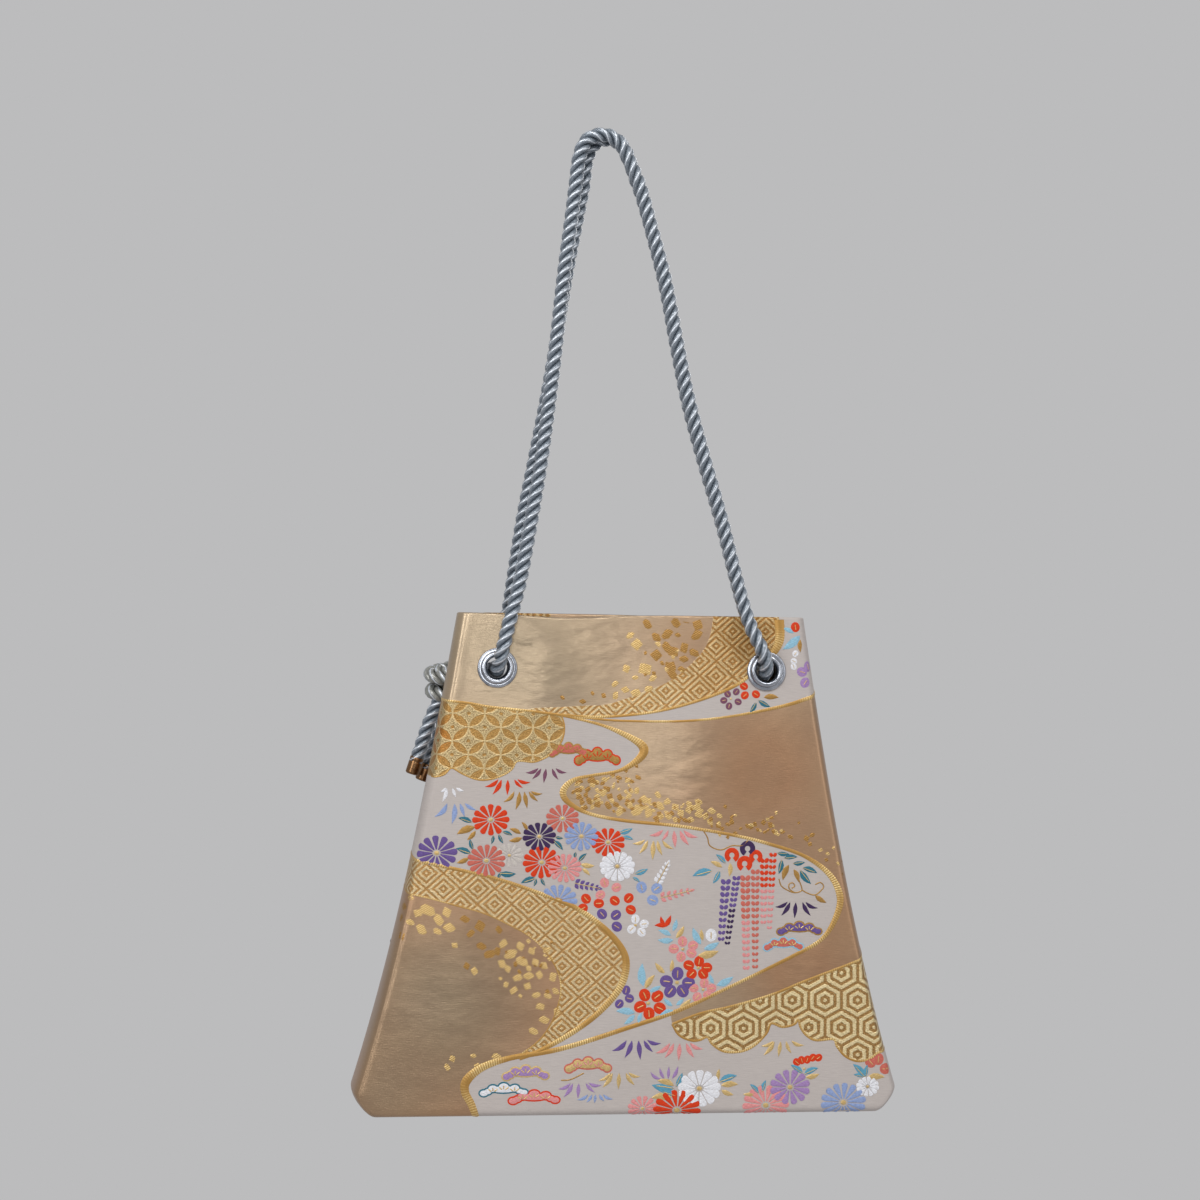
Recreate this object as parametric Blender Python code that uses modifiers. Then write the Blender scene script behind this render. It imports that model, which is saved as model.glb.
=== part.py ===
"""Kinchaku drawstring pouch of gold brocade, hanging by its rope. Metres, +Z up, front faces -Y.

The origin is the point that the pouch hangs from, under the top of the rope loops.
"""

import math

import bpy
from mathutils import Matrix, Vector

# The bag, measured over its outer cloth
BAG_AXIS_X = 0.020
MOUTH_Z = -0.2538
BAG_HEIGHT = 0.2625
MOUTH_HALF_WIDTH = 0.0938
BASE_HALF_WIDTH = 0.1457
MOUTH_HALF_DEPTH = 0.0090
BASE_HALF_DEPTH = 0.0250
FLARE = 0.22
SIDE_FOLD_REACH = 0.0056
BASE_ROUND = 0.0040
CORNER_RISE = 0.0125
CORNER_INSET = 0.0087
CORNER_POWER = 1.6

# Cloth, hem and lining
BROCADE_THICKNESS = 0.0008
LINING_THICKNESS = 0.0004
LINING_INSET = 0.0015
HEM_DEPTH = 0.045
HEM_FOLD_RADIUS = 0.0011
SEAM_GAP = 0.0003

# The sag of the mouth's edge, in metres, and how much of it the back has
LIP_DIP = 0.0022
LIP_SAG_PLACE = 0.036
LIP_SAG_REACH = 0.030
LIP_SAG_DEPTH = 0.050
BACK_SAG_SHARE = 0.4

# Soft waves of the cloth: the turn for each metre across and down, and where each starts. They fade out
# towards the folds and the base, as shares of the width and the height, and round the eyelets, in metres.
RIPPLE = 0.0013
WAVE_SHARE = 0.6
FINE_SHARE = 0.5
WIDE_WAVE = (46.0, 9.0, 1.3)
FINE_WAVE = (83.0, -21.0, 0.8)
FOLD_FADE = (0.62, 0.93)
BASE_FADE = (0.80, 0.97)
EYELET_FADE = (0.014, 0.034)

# Eyelets, each pressed onto a washer inside the mouth
EYELET_SPREAD = 0.0722
EYELET_DROP = 0.0292
BORE_RADIUS = 0.0058
BARREL_WALL = 0.0008
RIM_WIDTH = 0.0029
RIM_HEIGHT = 0.0022
FLANGE_WIDTH = 0.0019
FLANGE_THICKNESS = 0.0008
WASHER_WIDTH = 0.0033
WASHER_THICKNESS = 0.0008
CURL_WIDTH = 0.0017
CURL_HEIGHT = 0.0010
CLEARANCE = 0.0003

# Rounded edges of the eyelet, as shares across and down: of the rim from the bore and the crest, of the
# flange from the rim and its top, and of the curl from the barrel and its top
RIM_ROLL = ((0.5, 0.0), (0.8, 0.08), (1.0, 0.38))
RIM_BORE = ((0.0, 0.65), (0.18, 0.2))
FLANGE_EDGE = ((0.15, 0.0), (0.8, 0.15), (1.0, 0.55))
CURL_EDGE = ((0.0, 0.0), (1.0, 0.0), (1.0, 0.5), (0.6, 1.0))
CURL_LIP = (0.2, 0.9)
BORE_FOOT = 0.1
WASHER_EDGE = (0.5, 0.4)

# Rope, its stopper knot and the caps on its two tails
CORD_DIAMETER = 0.008
KNOT_CENTRE = Vector((-0.0776, 0.0240, -0.2918))
KNOT_HALF = Vector((0.0130, 0.0110, 0.0122))
KNOT_GROOVE = 0.06
KNOT_TURNS = 2.0
KNOT_LEAN = 5.0
CAP_DIAMETER = 0.0076
CAP_LENGTH = 0.0095
CAP_ROUND = 0.0006

# Mesh steps
FACE_STEPS = 16
SIDE_STEPS = 4
FACE_ROWS = 11
LINING_ROWS = 6
CORNER_ROWS = 4
ROUND_ROWS = 3
HEM_ROWS = 3
TURN_STEPS = 20
KNOT_SIDES = 20
KNOT_RINGS = 12
MERGE_REACH = 0.00001
SHORT_SPAN = 1.4 * CORD_DIAMETER

# The rope's route, from the knot through both left eyelets, over the hanging point, through both right
# eyelets, over the hanging point again and down behind the bag to the knot
CORD_ROUTE = (
    (-0.0600, 0.0215, -0.2865),
    (-0.0548, 0.0178, -0.2848),
    (-0.0525, 0.0110, -0.2838),
    (-0.0521, 0.0000, -0.2848),
    (-0.0521, -0.0098, -0.2832),
    (-0.0514, -0.0145, -0.2808),
    (-0.0502, -0.0188, -0.2745),
    (-0.0487, -0.0196, -0.2680),
    (-0.0465, -0.0184, -0.2585),
    (-0.0411, -0.0161, -0.2365),
    (-0.0357, -0.0146, -0.2047),
    (-0.0308, -0.0131, -0.1727),
    (-0.0250, -0.0107, -0.1240),
    (-0.0204, -0.0082, -0.0759),
    (-0.0165, -0.0065, -0.0432),
    (-0.0143, -0.0053, -0.0235),
    (-0.0126, -0.0046, -0.0090),
    (-0.0086, -0.0043, 0.0006),
    (0.0000, -0.0042, 0.0040),
    (0.0086, -0.0043, 0.0006),
    (0.0135, -0.0046, -0.0078),
    (0.0169, -0.0050, -0.0150),
    (0.0211, -0.0056, -0.0254),
    (0.0262, -0.0066, -0.0435),
    (0.0345, -0.0081, -0.0739),
    (0.0410, -0.0098, -0.1063),
    (0.0478, -0.0115, -0.1385),
    (0.0566, -0.0131, -0.1705),
    (0.0660, -0.0147, -0.2025),
    (0.0743, -0.0162, -0.2344),
    (0.0808, -0.0182, -0.2565),
    (0.0862, -0.0196, -0.2680),
    (0.0893, -0.0188, -0.2745),
    (0.0914, -0.0145, -0.2808),
    (0.0921, -0.0098, -0.2832),
    (0.0922, 0.0000, -0.2848),
    (0.0922, 0.0098, -0.2832),
    (0.0918, 0.0145, -0.2808),
    (0.0908, 0.0188, -0.2745),
    (0.0893, 0.0196, -0.2680),
    (0.0868, 0.0182, -0.2565),
    (0.0799, 0.0162, -0.2344),
    (0.0709, 0.0147, -0.2025),
    (0.0606, 0.0131, -0.1705),
    (0.0510, 0.0115, -0.1385),
    (0.0436, 0.0098, -0.1063),
    (0.0367, 0.0081, -0.0739),
    (0.0283, 0.0066, -0.0435),
    (0.0226, 0.0056, -0.0254),
    (0.0190, 0.0050, -0.0165),
    (0.0158, 0.0046, -0.0078),
    (0.0118, 0.0043, 0.0006),
    (0.0040, 0.0042, 0.0040),
    (-0.0040, 0.0043, 0.0006),
    (-0.0078, 0.0046, -0.0085),
    (-0.0092, 0.0050, -0.0220),
    (-0.0124, 0.0063, -0.0401),
    (-0.0179, 0.0082, -0.0726),
    (-0.0250, 0.0107, -0.1240),
    (-0.0331, 0.0131, -0.1704),
    (-0.0390, 0.0146, -0.2031),
    (-0.0436, 0.0165, -0.2359),
    (-0.0458, 0.0180, -0.2520),
    (-0.0500, 0.0210, -0.2650),
    (-0.0562, 0.0245, -0.2742),
)
TAIL_ROUTES = {
    "tail_outer": (
        (-0.0852, 0.0215, -0.3080),
        (-0.0880, 0.0205, -0.3150),
        (-0.0910, 0.0200, -0.3240),
        (-0.0938, 0.0200, -0.3330),
    ),
    "tail_inner": (
        (-0.0782, 0.0285, -0.3095),
        (-0.0812, 0.0290, -0.3180),
        (-0.0848, 0.0290, -0.3280),
        (-0.0882, 0.0288, -0.3375),
    ),
}

COLOURS = {
    "brocade": ((0.52, 0.36, 0.19), 0.42, 0.35),
    "lining": ((0.62, 0.48, 0.32), 0.75, 0.0),
    "silver": ((0.70, 0.71, 0.73), 0.22, 1.0),
    "rope": ((0.22, 0.28, 0.33), 0.45, 0.0),
    "bronze": ((0.45, 0.30, 0.17), 0.30, 1.0),
}


def clear_scene():
    for thing in list(bpy.data.objects):
        bpy.data.objects.remove(thing, do_unlink=True)


def new_collection(name):
    collection = bpy.data.collections.new(name)
    bpy.context.scene.collection.children.link(collection)
    return collection


def new_material(node, kind):
    colour, roughness, metallic = COLOURS[kind]
    material = bpy.data.materials.new(node)
    material.use_nodes = True
    shader = material.node_tree.nodes["Principled BSDF"]
    shader.inputs["Base Color"].default_value = (*colour, 1.0)
    shader.inputs["Roughness"].default_value = roughness
    shader.inputs["Metallic"].default_value = metallic
    material.diffuse_color = (*colour, 1.0)
    return material


def place(thing, collection, kind):
    """Keeps the object in its one collection, with a material of its own, shaded smooth."""
    for other in list(thing.users_collection):
        other.objects.unlink(thing)
    collection.objects.link(thing)
    thing.data.materials.append(new_material(thing.name, kind))
    return thing


def mesh_object(name, points, faces, collection, kind):
    mesh = bpy.data.meshes.new(name)
    mesh.from_pydata(points, [], faces)
    mesh.update()
    thing = place(bpy.data.objects.new(name, mesh), collection, kind)
    mesh.shade_smooth()
    return thing


def smooth_step(low, high, value):
    share = min(1.0, max(0.0, (value - low) / (high - low)))
    return share * share * (3.0 - 2.0 * share)


def half_width(drop):
    """Half the bag's width at this drop below the mouth: a gentle flare, then the boxed corner turns in."""
    corner_drop = BAG_HEIGHT - CORNER_RISE
    share = min(drop / corner_drop, 1.0)
    flare = (1.0 - FLARE) * share + FLARE * share**3
    width = MOUTH_HALF_WIDTH + (BASE_HALF_WIDTH - MOUTH_HALF_WIDTH) * flare
    below = max(0.0, drop - corner_drop) / CORNER_RISE
    return width - CORNER_INSET * below**CORNER_POWER


def half_depth(drop):
    """Half the bag's depth on its flat faces, with the lower front edge rounded under."""
    share = drop / BAG_HEIGHT
    depth = MOUTH_HALF_DEPTH + (BASE_HALF_DEPTH - MOUTH_HALF_DEPTH) * share
    into_round = max(0.0, drop - (BAG_HEIGHT - BASE_ROUND)) / BASE_ROUND
    return depth - BASE_ROUND * (1.0 - math.sqrt(max(0.0, 1.0 - into_round**2)))


def depth_slope():
    return (BASE_HALF_DEPTH - MOUTH_HALF_DEPTH) / BAG_HEIGHT


def ripple(x, drop, side):
    """Soft waves of the cloth, gone at the folds, at the base and under the eyelets."""
    from_fold = 1.0 - smooth_step(*FOLD_FADE, abs(x) / half_width(drop))
    from_base = 1.0 - smooth_step(*BASE_FADE, drop / BAG_HEIGHT)
    from_eyelet = smooth_step(*EYELET_FADE, math.hypot(abs(x) - EYELET_SPREAD, drop - EYELET_DROP))
    wide = math.sin(WIDE_WAVE[0] * x + WIDE_WAVE[1] * drop + WIDE_WAVE[2] * side)
    fine = math.sin(FINE_WAVE[0] * x + FINE_WAVE[1] * drop + FINE_WAVE[2])
    return RIPPLE * WAVE_SHARE * (wide + FINE_SHARE * fine) * from_fold * from_base * from_eyelet


def lip_sag(x, drop, side):
    """The mouth's edge hangs a little lower left of its middle on the front, and right of it on the back."""
    away = (x - LIP_SAG_PLACE * side) / LIP_SAG_REACH
    depth = LIP_DIP * (BACK_SAG_SHARE if side > 0 else 1.0)
    return depth * max(0.0, 1.0 - drop / LIP_SAG_DEPTH) * math.exp(-(away**2))


def panel_row(drop, side, inset, lift=0.0):
    """The points of one level of a cloth panel, from its left seam over the face to its right seam."""
    width = half_width(drop) - inset
    depth = half_depth(drop) - inset
    reach = SIDE_FOLD_REACH - inset
    flat = width - reach
    half_gap = SEAM_GAP / 2.0
    level = []
    for step in range(SIDE_STEPS, 0, -1):
        angle = math.pi / 2.0 * step / SIDE_STEPS
        level.append((-flat - reach * math.sin(angle), half_gap + (depth - half_gap) * math.cos(angle)))
    for step in range(FACE_STEPS + 1):
        x = flat * (2.0 * step / FACE_STEPS - 1.0)
        level.append((x, depth + ripple(x, drop, side)))
    for step in range(1, SIDE_STEPS + 1):
        angle = math.pi / 2.0 * step / SIDE_STEPS
        level.append((flat + reach * math.sin(angle), half_gap + (depth - half_gap) * math.cos(angle)))
    row = []
    for x, y in level:
        z = MOUTH_Z - drop + lift - lip_sag(x, drop, side)
        row.append(Vector((BAG_AXIS_X + x, side * y, z)))
    return row


def base_drops():
    """Levels from the base edge up to just above the boxed corner."""
    drops = []
    for step in range(ROUND_ROWS):
        angle = math.pi / 2.0 * (1.0 - step / ROUND_ROWS)
        drops.append(BAG_HEIGHT - BASE_ROUND * (1.0 - math.sin(angle)))
    for step in range(CORNER_ROWS):
        drops.append(BAG_HEIGHT - BASE_ROUND - (CORNER_RISE - BASE_ROUND) * step / CORNER_ROWS)
    return drops


def cloth_panel(name, collection, kind, side, rows, thickness):
    """A sewn panel: face and side folds up to the mouth, and half the base in to the seam under the bag.

    Its side columns end where the boxed corner's seam crosses them, on the end columns of the base strip.
    """
    columns = FACE_STEPS + 2 * SIDE_STEPS + 1
    points = [point for row in rows for point in row]
    faces = []
    for level in range(len(rows) - 1):
        for column in range(columns - 1):
            low = level * columns + column
            faces.append((low, low + 1, low + columns + 1, low + columns))
    edge_row = list(range(SIDE_STEPS, SIDE_STEPS + FACE_STEPS + 1))
    for step in range(1, SIDE_STEPS + 1):
        left = rows[0][SIDE_STEPS - step]
        right = rows[0][SIDE_STEPS + FACE_STEPS + step]
        next_row = [SIDE_STEPS - step]
        for column in range(1, FACE_STEPS):
            share = column / FACE_STEPS
            next_row.append(len(points))
            points.append(left.lerp(right, share))
        next_row.append(SIDE_STEPS + FACE_STEPS + step)
        for column in range(FACE_STEPS):
            faces.append((edge_row[column + 1], edge_row[column], next_row[column], next_row[column + 1]))
        edge_row = next_row
    if side > 0:
        faces = [tuple(reversed(face)) for face in faces]
    panel = mesh_object(name, points, faces, collection, kind)
    shell = panel.modifiers.new("cloth", "SOLIDIFY")
    shell.thickness = thickness
    shell.offset = -1.0
    shell.use_even_offset = True
    return panel


def brocade_panel(name, collection, side):
    rows = [panel_row(drop, side, 0.0) for drop in base_drops()]
    top_drop = HEM_FOLD_RADIUS
    low_drop = BAG_HEIGHT - CORNER_RISE
    for step in range(FACE_ROWS + 1):
        rows.append(panel_row(low_drop + (top_drop - low_drop) * step / FACE_ROWS, side, 0.0))
    for angle in (math.pi / 4.0, math.pi / 2.0, 3.0 * math.pi / 4.0):
        inset = HEM_FOLD_RADIUS * (1.0 - math.cos(angle))
        rows.append(panel_row(top_drop, side, inset, HEM_FOLD_RADIUS * math.sin(angle)))
    for step in range(HEM_ROWS + 1):
        drop = top_drop + (HEM_DEPTH - top_drop) * step / HEM_ROWS
        rows.append(panel_row(drop, side, 2.0 * HEM_FOLD_RADIUS))
    return cloth_panel(name, collection, "brocade", side, rows, BROCADE_THICKNESS)


def lining_panel(name, collection, side):
    """The lining hangs from the hem's lower edge and stands off the brocade all round."""
    top_drop = HEM_DEPTH + CLEARANCE
    low_drop = BAG_HEIGHT - CORNER_RISE
    drops = base_drops()
    for step in range(LINING_ROWS + 1):
        drops.append(low_drop + (top_drop - low_drop) * step / LINING_ROWS)
    rows = []
    for drop in drops:
        lift = LINING_INSET * max(0.0, drop - low_drop) / CORNER_RISE
        rows.append(panel_row(drop, side, LINING_INSET, lift))
    return cloth_panel(name, collection, "lining", side, rows, LINING_THICKNESS)


def eyelet_frame(side, hand):
    """Local +Z points out of the cloth at the eyelet's centre, from the outer cloth's face."""
    outward = Vector((0.0, side, depth_slope())).normalized()
    across = Vector((1.0, 0.0, 0.0))
    upward = outward.cross(across)
    centre_x = BAG_AXIS_X + hand * EYELET_SPREAD
    matrix = Matrix((across, upward, outward)).transposed().to_4x4()
    matrix.translation = (centre_x, side * half_depth(EYELET_DROP), MOUTH_Z - EYELET_DROP)
    return matrix


def turned(name, profile, collection, kind, hollow=True):
    """A profile, in radius and height, turned about Z. A hollow piece's profile is closed."""
    points = [(radius, 0.0, height) for radius, height in profile]
    edges = [(index, index + 1) for index in range(len(points) - 1)]
    if hollow:
        edges.append((len(points) - 1, 0))
    mesh = bpy.data.meshes.new(name)
    mesh.from_pydata(points, edges, [])
    thing = place(bpy.data.objects.new(name, mesh), collection, kind)
    turn = thing.modifiers.new("turn", "SCREW")
    turn.angle = 2.0 * math.pi
    turn.steps = TURN_STEPS
    turn.render_steps = TURN_STEPS
    turn.use_merge_vertices = True
    turn.merge_threshold = MERGE_REACH
    turn.use_smooth_shade = True
    return thing


def stack_depth():
    """From the outer cloth's face to the hem's inner face."""
    return 2.0 * HEM_FOLD_RADIUS


def eyelet(name, collection, side, hand):
    """Rolled rim, flange and barrel in one, with the barrel's end curled over the washer.

    The profile runs from the rim's crest out over the flange, in under it, down the barrel, round the curl
    and up the bore.
    """
    barrel = BORE_RADIUS + BARREL_WALL
    rim = BORE_RADIUS + RIM_WIDTH
    flange = rim + FLANGE_WIDTH
    seat = CLEARANCE
    crest = seat + RIM_HEIGHT
    foot = seat + FLANGE_THICKNESS
    curl_top = -(stack_depth() + WASHER_THICKNESS + 2.0 * CLEARANCE)
    profile = [(BORE_RADIUS + RIM_WIDTH * across, crest - RIM_HEIGHT * down) for across, down in RIM_ROLL]
    profile += [(rim + FLANGE_WIDTH * across, foot - FLANGE_THICKNESS * down) for across, down in FLANGE_EDGE]
    profile += [(flange, seat), (barrel, seat)]
    profile += [(barrel + CURL_WIDTH * across, curl_top - CURL_HEIGHT * down) for across, down in CURL_EDGE]
    profile.append((barrel - BARREL_WALL * CURL_LIP[0], curl_top - CURL_HEIGHT * CURL_LIP[1]))
    profile.append((BORE_RADIUS, curl_top - CURL_HEIGHT * BORE_FOOT))
    profile += [(BORE_RADIUS + RIM_WIDTH * across, crest - RIM_HEIGHT * down) for across, down in RIM_BORE]
    thing = turned(name, profile, collection, "silver")
    thing.matrix_world = eyelet_frame(side, hand)
    return thing


def washer(name, collection, side, hand):
    inner = BORE_RADIUS + BARREL_WALL + CLEARANCE
    outer = inner + WASHER_WIDTH
    top = -(stack_depth() + CLEARANCE)
    low = top - WASHER_THICKNESS
    profile = [
        (outer, top),
        (outer, low + WASHER_THICKNESS * WASHER_EDGE[1]),
        (outer - WASHER_THICKNESS * WASHER_EDGE[0], low),
        (inner, low),
        (inner, top),
    ]
    thing = turned(name, profile, collection, "silver")
    thing.matrix_world = eyelet_frame(side, hand)
    return thing


def punch_eyelet_hole(panel, cutters, side, hand):
    """Cuts the hole that the eyelet's barrel passes through, in the cloth and in the hem behind it."""
    radius = BORE_RADIUS + BARREL_WALL + CLEARANCE
    bpy.ops.mesh.primitive_cylinder_add(vertices=TURN_STEPS, radius=radius, depth=4.0 * stack_depth())
    cutter = bpy.context.object
    cutter.name = f"{panel.name}_hole_{'right' if hand > 0 else 'left'}"
    cutter.matrix_world = eyelet_frame(side, hand) @ Matrix.Translation((0.0, 0.0, -stack_depth() / 2.0))
    place(cutter, cutters, "lining")
    cutter.hide_render = True
    cutter.display_type = "WIRE"
    cut = panel.modifiers.new(cutter.name, "BOOLEAN")
    cut.operation = "DIFFERENCE"
    cut.solver = "EXACT"
    cut.object = cutter


def on_knot(towards, distance):
    """The point outside the knot's surface, this far off, on the way to a given point."""
    ray = (Vector(towards) - KNOT_CENTRE).normalized()
    scaled = Vector(ray[axis] / KNOT_HALF[axis] for axis in range(3))
    return KNOT_CENTRE + ray * (1.0 / scaled.length + distance)


def smooth_route(points):
    """A Catmull-Rom curve through the route's points, with a point added in the middle of each short span."""
    points = [Vector(point) for point in points]
    padded = [points[0] * 2.0 - points[1], *points, points[-1] * 2.0 - points[-2]]
    route = []
    for index in range(1, len(padded) - 2):
        before, start, end, after = padded[index - 1 : index + 3]
        count = 2 if (end - start).length < SHORT_SPAN else 1
        for step in range(count):
            share = step / count
            bend = (2.0 * before - 5.0 * start + 4.0 * end - after) * share**2
            twist = (3.0 * start - before - 3.0 * end + after) * share**3
            route.append((2.0 * start + (end - before) * share + bend + twist) / 2.0)
    route.append(points[-1])
    return route


def tube(name, points, collection):
    curve = bpy.data.curves.new(name, "CURVE")
    curve.dimensions = "3D"
    curve.bevel_depth = CORD_DIAMETER / 2.0
    curve.bevel_resolution = 2
    curve.use_fill_caps = True
    spline = curve.splines.new("POLY")
    spline.points.add(len(points) - 1)
    for index, point in enumerate(points):
        spline.points[index].co = (*point, 1.0)
    return place(bpy.data.objects.new(name, curve), collection, "rope")


def drawstring(collection):
    """The one long rope, from the knot to the knot."""
    grip = KNOT_GROOVE * max(KNOT_HALF) + CLEARANCE
    route = [on_knot(CORD_ROUTE[0], grip), *CORD_ROUTE, on_knot(CORD_ROUTE[-1], grip)]
    return tube("drawstring", smooth_route(route), collection)


def knot(collection):
    """The stopper knot's outer shape, with the grooves between its turns."""
    bpy.ops.mesh.primitive_uv_sphere_add(segments=KNOT_SIDES, ring_count=KNOT_RINGS, radius=1.0)
    thing = bpy.context.object
    thing.name = "stopper_knot"
    thing.data.name = "stopper_knot"
    for vertex in thing.data.vertices:
        wave = math.sin(KNOT_TURNS * math.atan2(vertex.co.y, vertex.co.x) + KNOT_LEAN * vertex.co.z)
        swell = 1.0 + KNOT_GROOVE * wave * (1.0 - vertex.co.z**2)
        vertex.co = Vector(vertex.co[axis] * KNOT_HALF[axis] * swell for axis in range(3))
    thing.location = KNOT_CENTRE
    thing.data.shade_smooth()
    return place(thing, collection, "rope")


def tail(name, collection):
    route = TAIL_ROUTES[name]
    start = on_knot(route[0], KNOT_GROOVE * max(KNOT_HALF) + CLEARANCE)
    return tube(name, smooth_route([start, *route]), collection)


def end_cap(name, tail_name, collection):
    """A metal cap crimped on the tail's cut end. The rope held inside it is part of its solid."""
    radius = CAP_DIAMETER / 2.0
    profile = [
        (0.0, 0.0),
        (radius - CAP_ROUND, 0.0),
        (radius, -CAP_ROUND),
        (radius, -CAP_LENGTH + CAP_ROUND),
        (radius - CAP_ROUND, -CAP_LENGTH),
        (0.0, -CAP_LENGTH),
    ]
    cap = turned(name, profile, collection, "bronze", hollow=False)
    end = Vector(TAIL_ROUTES[tail_name][-1])
    downward = (end - Vector(TAIL_ROUTES[tail_name][-2])).normalized()
    cap.rotation_mode = "QUATERNION"
    cap.rotation_quaternion = (-downward).to_track_quat("Z", "Y")
    cap.location = end + downward * CLEARANCE
    return cap


def build():
    clear_scene()
    pouch = new_collection("kinchaku_pouch")
    cutters = new_collection("cutters")
    sides = {"front": -1.0, "back": 1.0}
    hands = {"left": -1.0, "right": 1.0}
    for where, side in sides.items():
        panel = brocade_panel(f"brocade_{where}_panel", pouch, side)
        lining_panel(f"lining_{where}_panel", pouch, side)
        for hand_name, hand in hands.items():
            punch_eyelet_hole(panel, cutters, side, hand)
            eyelet(f"eyelet_{where}_{hand_name}", pouch, side, hand)
            washer(f"washer_{where}_{hand_name}", pouch, side, hand)
    drawstring(pouch)
    knot(pouch)
    for name in TAIL_ROUTES:
        tail(name, pouch)
        end_cap(f"{name}_cap", name, pouch)


build()
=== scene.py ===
import math

import bpy
import numpy as np
from mathutils import Matrix, Vector


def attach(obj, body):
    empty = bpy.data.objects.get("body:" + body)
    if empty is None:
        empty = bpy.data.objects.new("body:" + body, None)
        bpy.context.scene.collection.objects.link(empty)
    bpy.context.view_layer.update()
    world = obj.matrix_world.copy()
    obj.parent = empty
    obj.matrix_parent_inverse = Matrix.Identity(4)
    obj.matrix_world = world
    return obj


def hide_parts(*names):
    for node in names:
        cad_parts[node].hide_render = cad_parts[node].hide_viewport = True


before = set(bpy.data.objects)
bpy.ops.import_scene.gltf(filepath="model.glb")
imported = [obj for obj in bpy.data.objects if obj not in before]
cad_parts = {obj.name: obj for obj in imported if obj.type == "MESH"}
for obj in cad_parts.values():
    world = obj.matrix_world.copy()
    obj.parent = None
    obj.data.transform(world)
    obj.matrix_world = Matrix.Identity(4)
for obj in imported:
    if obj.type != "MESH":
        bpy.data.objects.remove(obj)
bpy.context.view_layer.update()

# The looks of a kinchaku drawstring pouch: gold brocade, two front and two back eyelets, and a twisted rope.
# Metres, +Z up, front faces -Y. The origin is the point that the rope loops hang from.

# The bag's form, measured over its outer cloth, as in the CAD
BAG_AXIS_X = 0.020
MOUTH_Z = -0.2538
BAG_HEIGHT = 0.2625
MOUTH_HALF_WIDTH = 0.0938
BASE_HALF_WIDTH = 0.1457
MOUTH_HALF_DEPTH = 0.0090
BASE_HALF_DEPTH = 0.0250
FLARE = 0.22
SIDE_FOLD_REACH = 0.0056
BASE_ROUND = 0.0040
CORNER_RISE = 0.0125
CORNER_INSET = 0.0087
CORNER_POWER = 1.6
BROCADE_THICKNESS = 0.0008
LINING_THICKNESS = 0.0004
LINING_INSET = 0.0015
HEM_DEPTH = 0.045
HEM_FOLD_RADIUS = 0.0011
HALF_SEAM_GAP = 0.00015

# The sag of the mouth's edge, in metres, and how much of it the back has
LIP_DIP = 0.0022
LIP_SAG_PLACE = 0.036
LIP_SAG_REACH = 0.030
LIP_SAG_DEPTH = 0.050
BACK_SAG_SHARE = 0.4

# Soft waves of the cloth: radians for each metre across and down, and where each wave starts
RIPPLE = 0.0013
WAVE_SHARE = 0.6
FINE_SHARE = 0.5
WIDE_WAVE = (46.0, 9.0, 1.3)
FINE_WAVE = (83.0, -21.0, 0.8)
# Where the waves fade out: shares of the half width and of the height, and metres from an eyelet's centre
FOLD_FADE = (0.62, 0.93)
BASE_FADE = (0.80, 0.97)
EYELET_FADE = (0.014, 0.034)

# How near the side folds the face seems to round, how far it falls there, and how deep the creases look
FOLD_EASE = 0.008
FOLD_FALL = 0.0010
CREASE_DEPTH = 0.0021

# Eyelets and washers
EYELET_SPREAD = 0.0722
EYELET_DROP = 0.0292
BORE_RADIUS = 0.0058
BARREL_WALL = 0.0008
RIM_WIDTH = 0.0029
RIM_HEIGHT = 0.0022
FLANGE_WIDTH = 0.0019
FLANGE_THICKNESS = 0.0008
WASHER_WIDTH = 0.0033
WASHER_THICKNESS = 0.0008
CURL_WIDTH = 0.0017
CURL_HEIGHT = 0.0010
CLEARANCE = 0.0003
HOLE_RADIUS = 0.0070

# Rope, knot and caps
CORD_DIAMETER = 0.008
STRANDS = 3
STRAND_DEPTH = 0.00190
STRAND_BREADTH = 0.00215
STRAND_OFFSET = CORD_DIAMETER / 2.0 - STRAND_DEPTH
LAY = 0.018
RING_STEP = 0.0015
STRAND_SIDES = 12
KNOT_CENTRE = Vector((-0.0776, 0.0240, -0.2918))
KNOT_HALF = Vector((0.0130, 0.0110, 0.0122))
KNOT_GROOVE = 0.06
KNOT_TURNS = 1.25
KNOT_RING = (0.0105, 0.0080, 0.0075)
KNOT_START = 0.4
KNOT_SHIFT = 0.0018
KNOT_WAIST = 0.55
TAIL_PHASE = 1.1
CAP_DIAMETER = 0.0076
CAP_LENGTH = 0.0095
CAP_ROUND = 0.0006
CAP_WAIST = 0.00035

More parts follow.
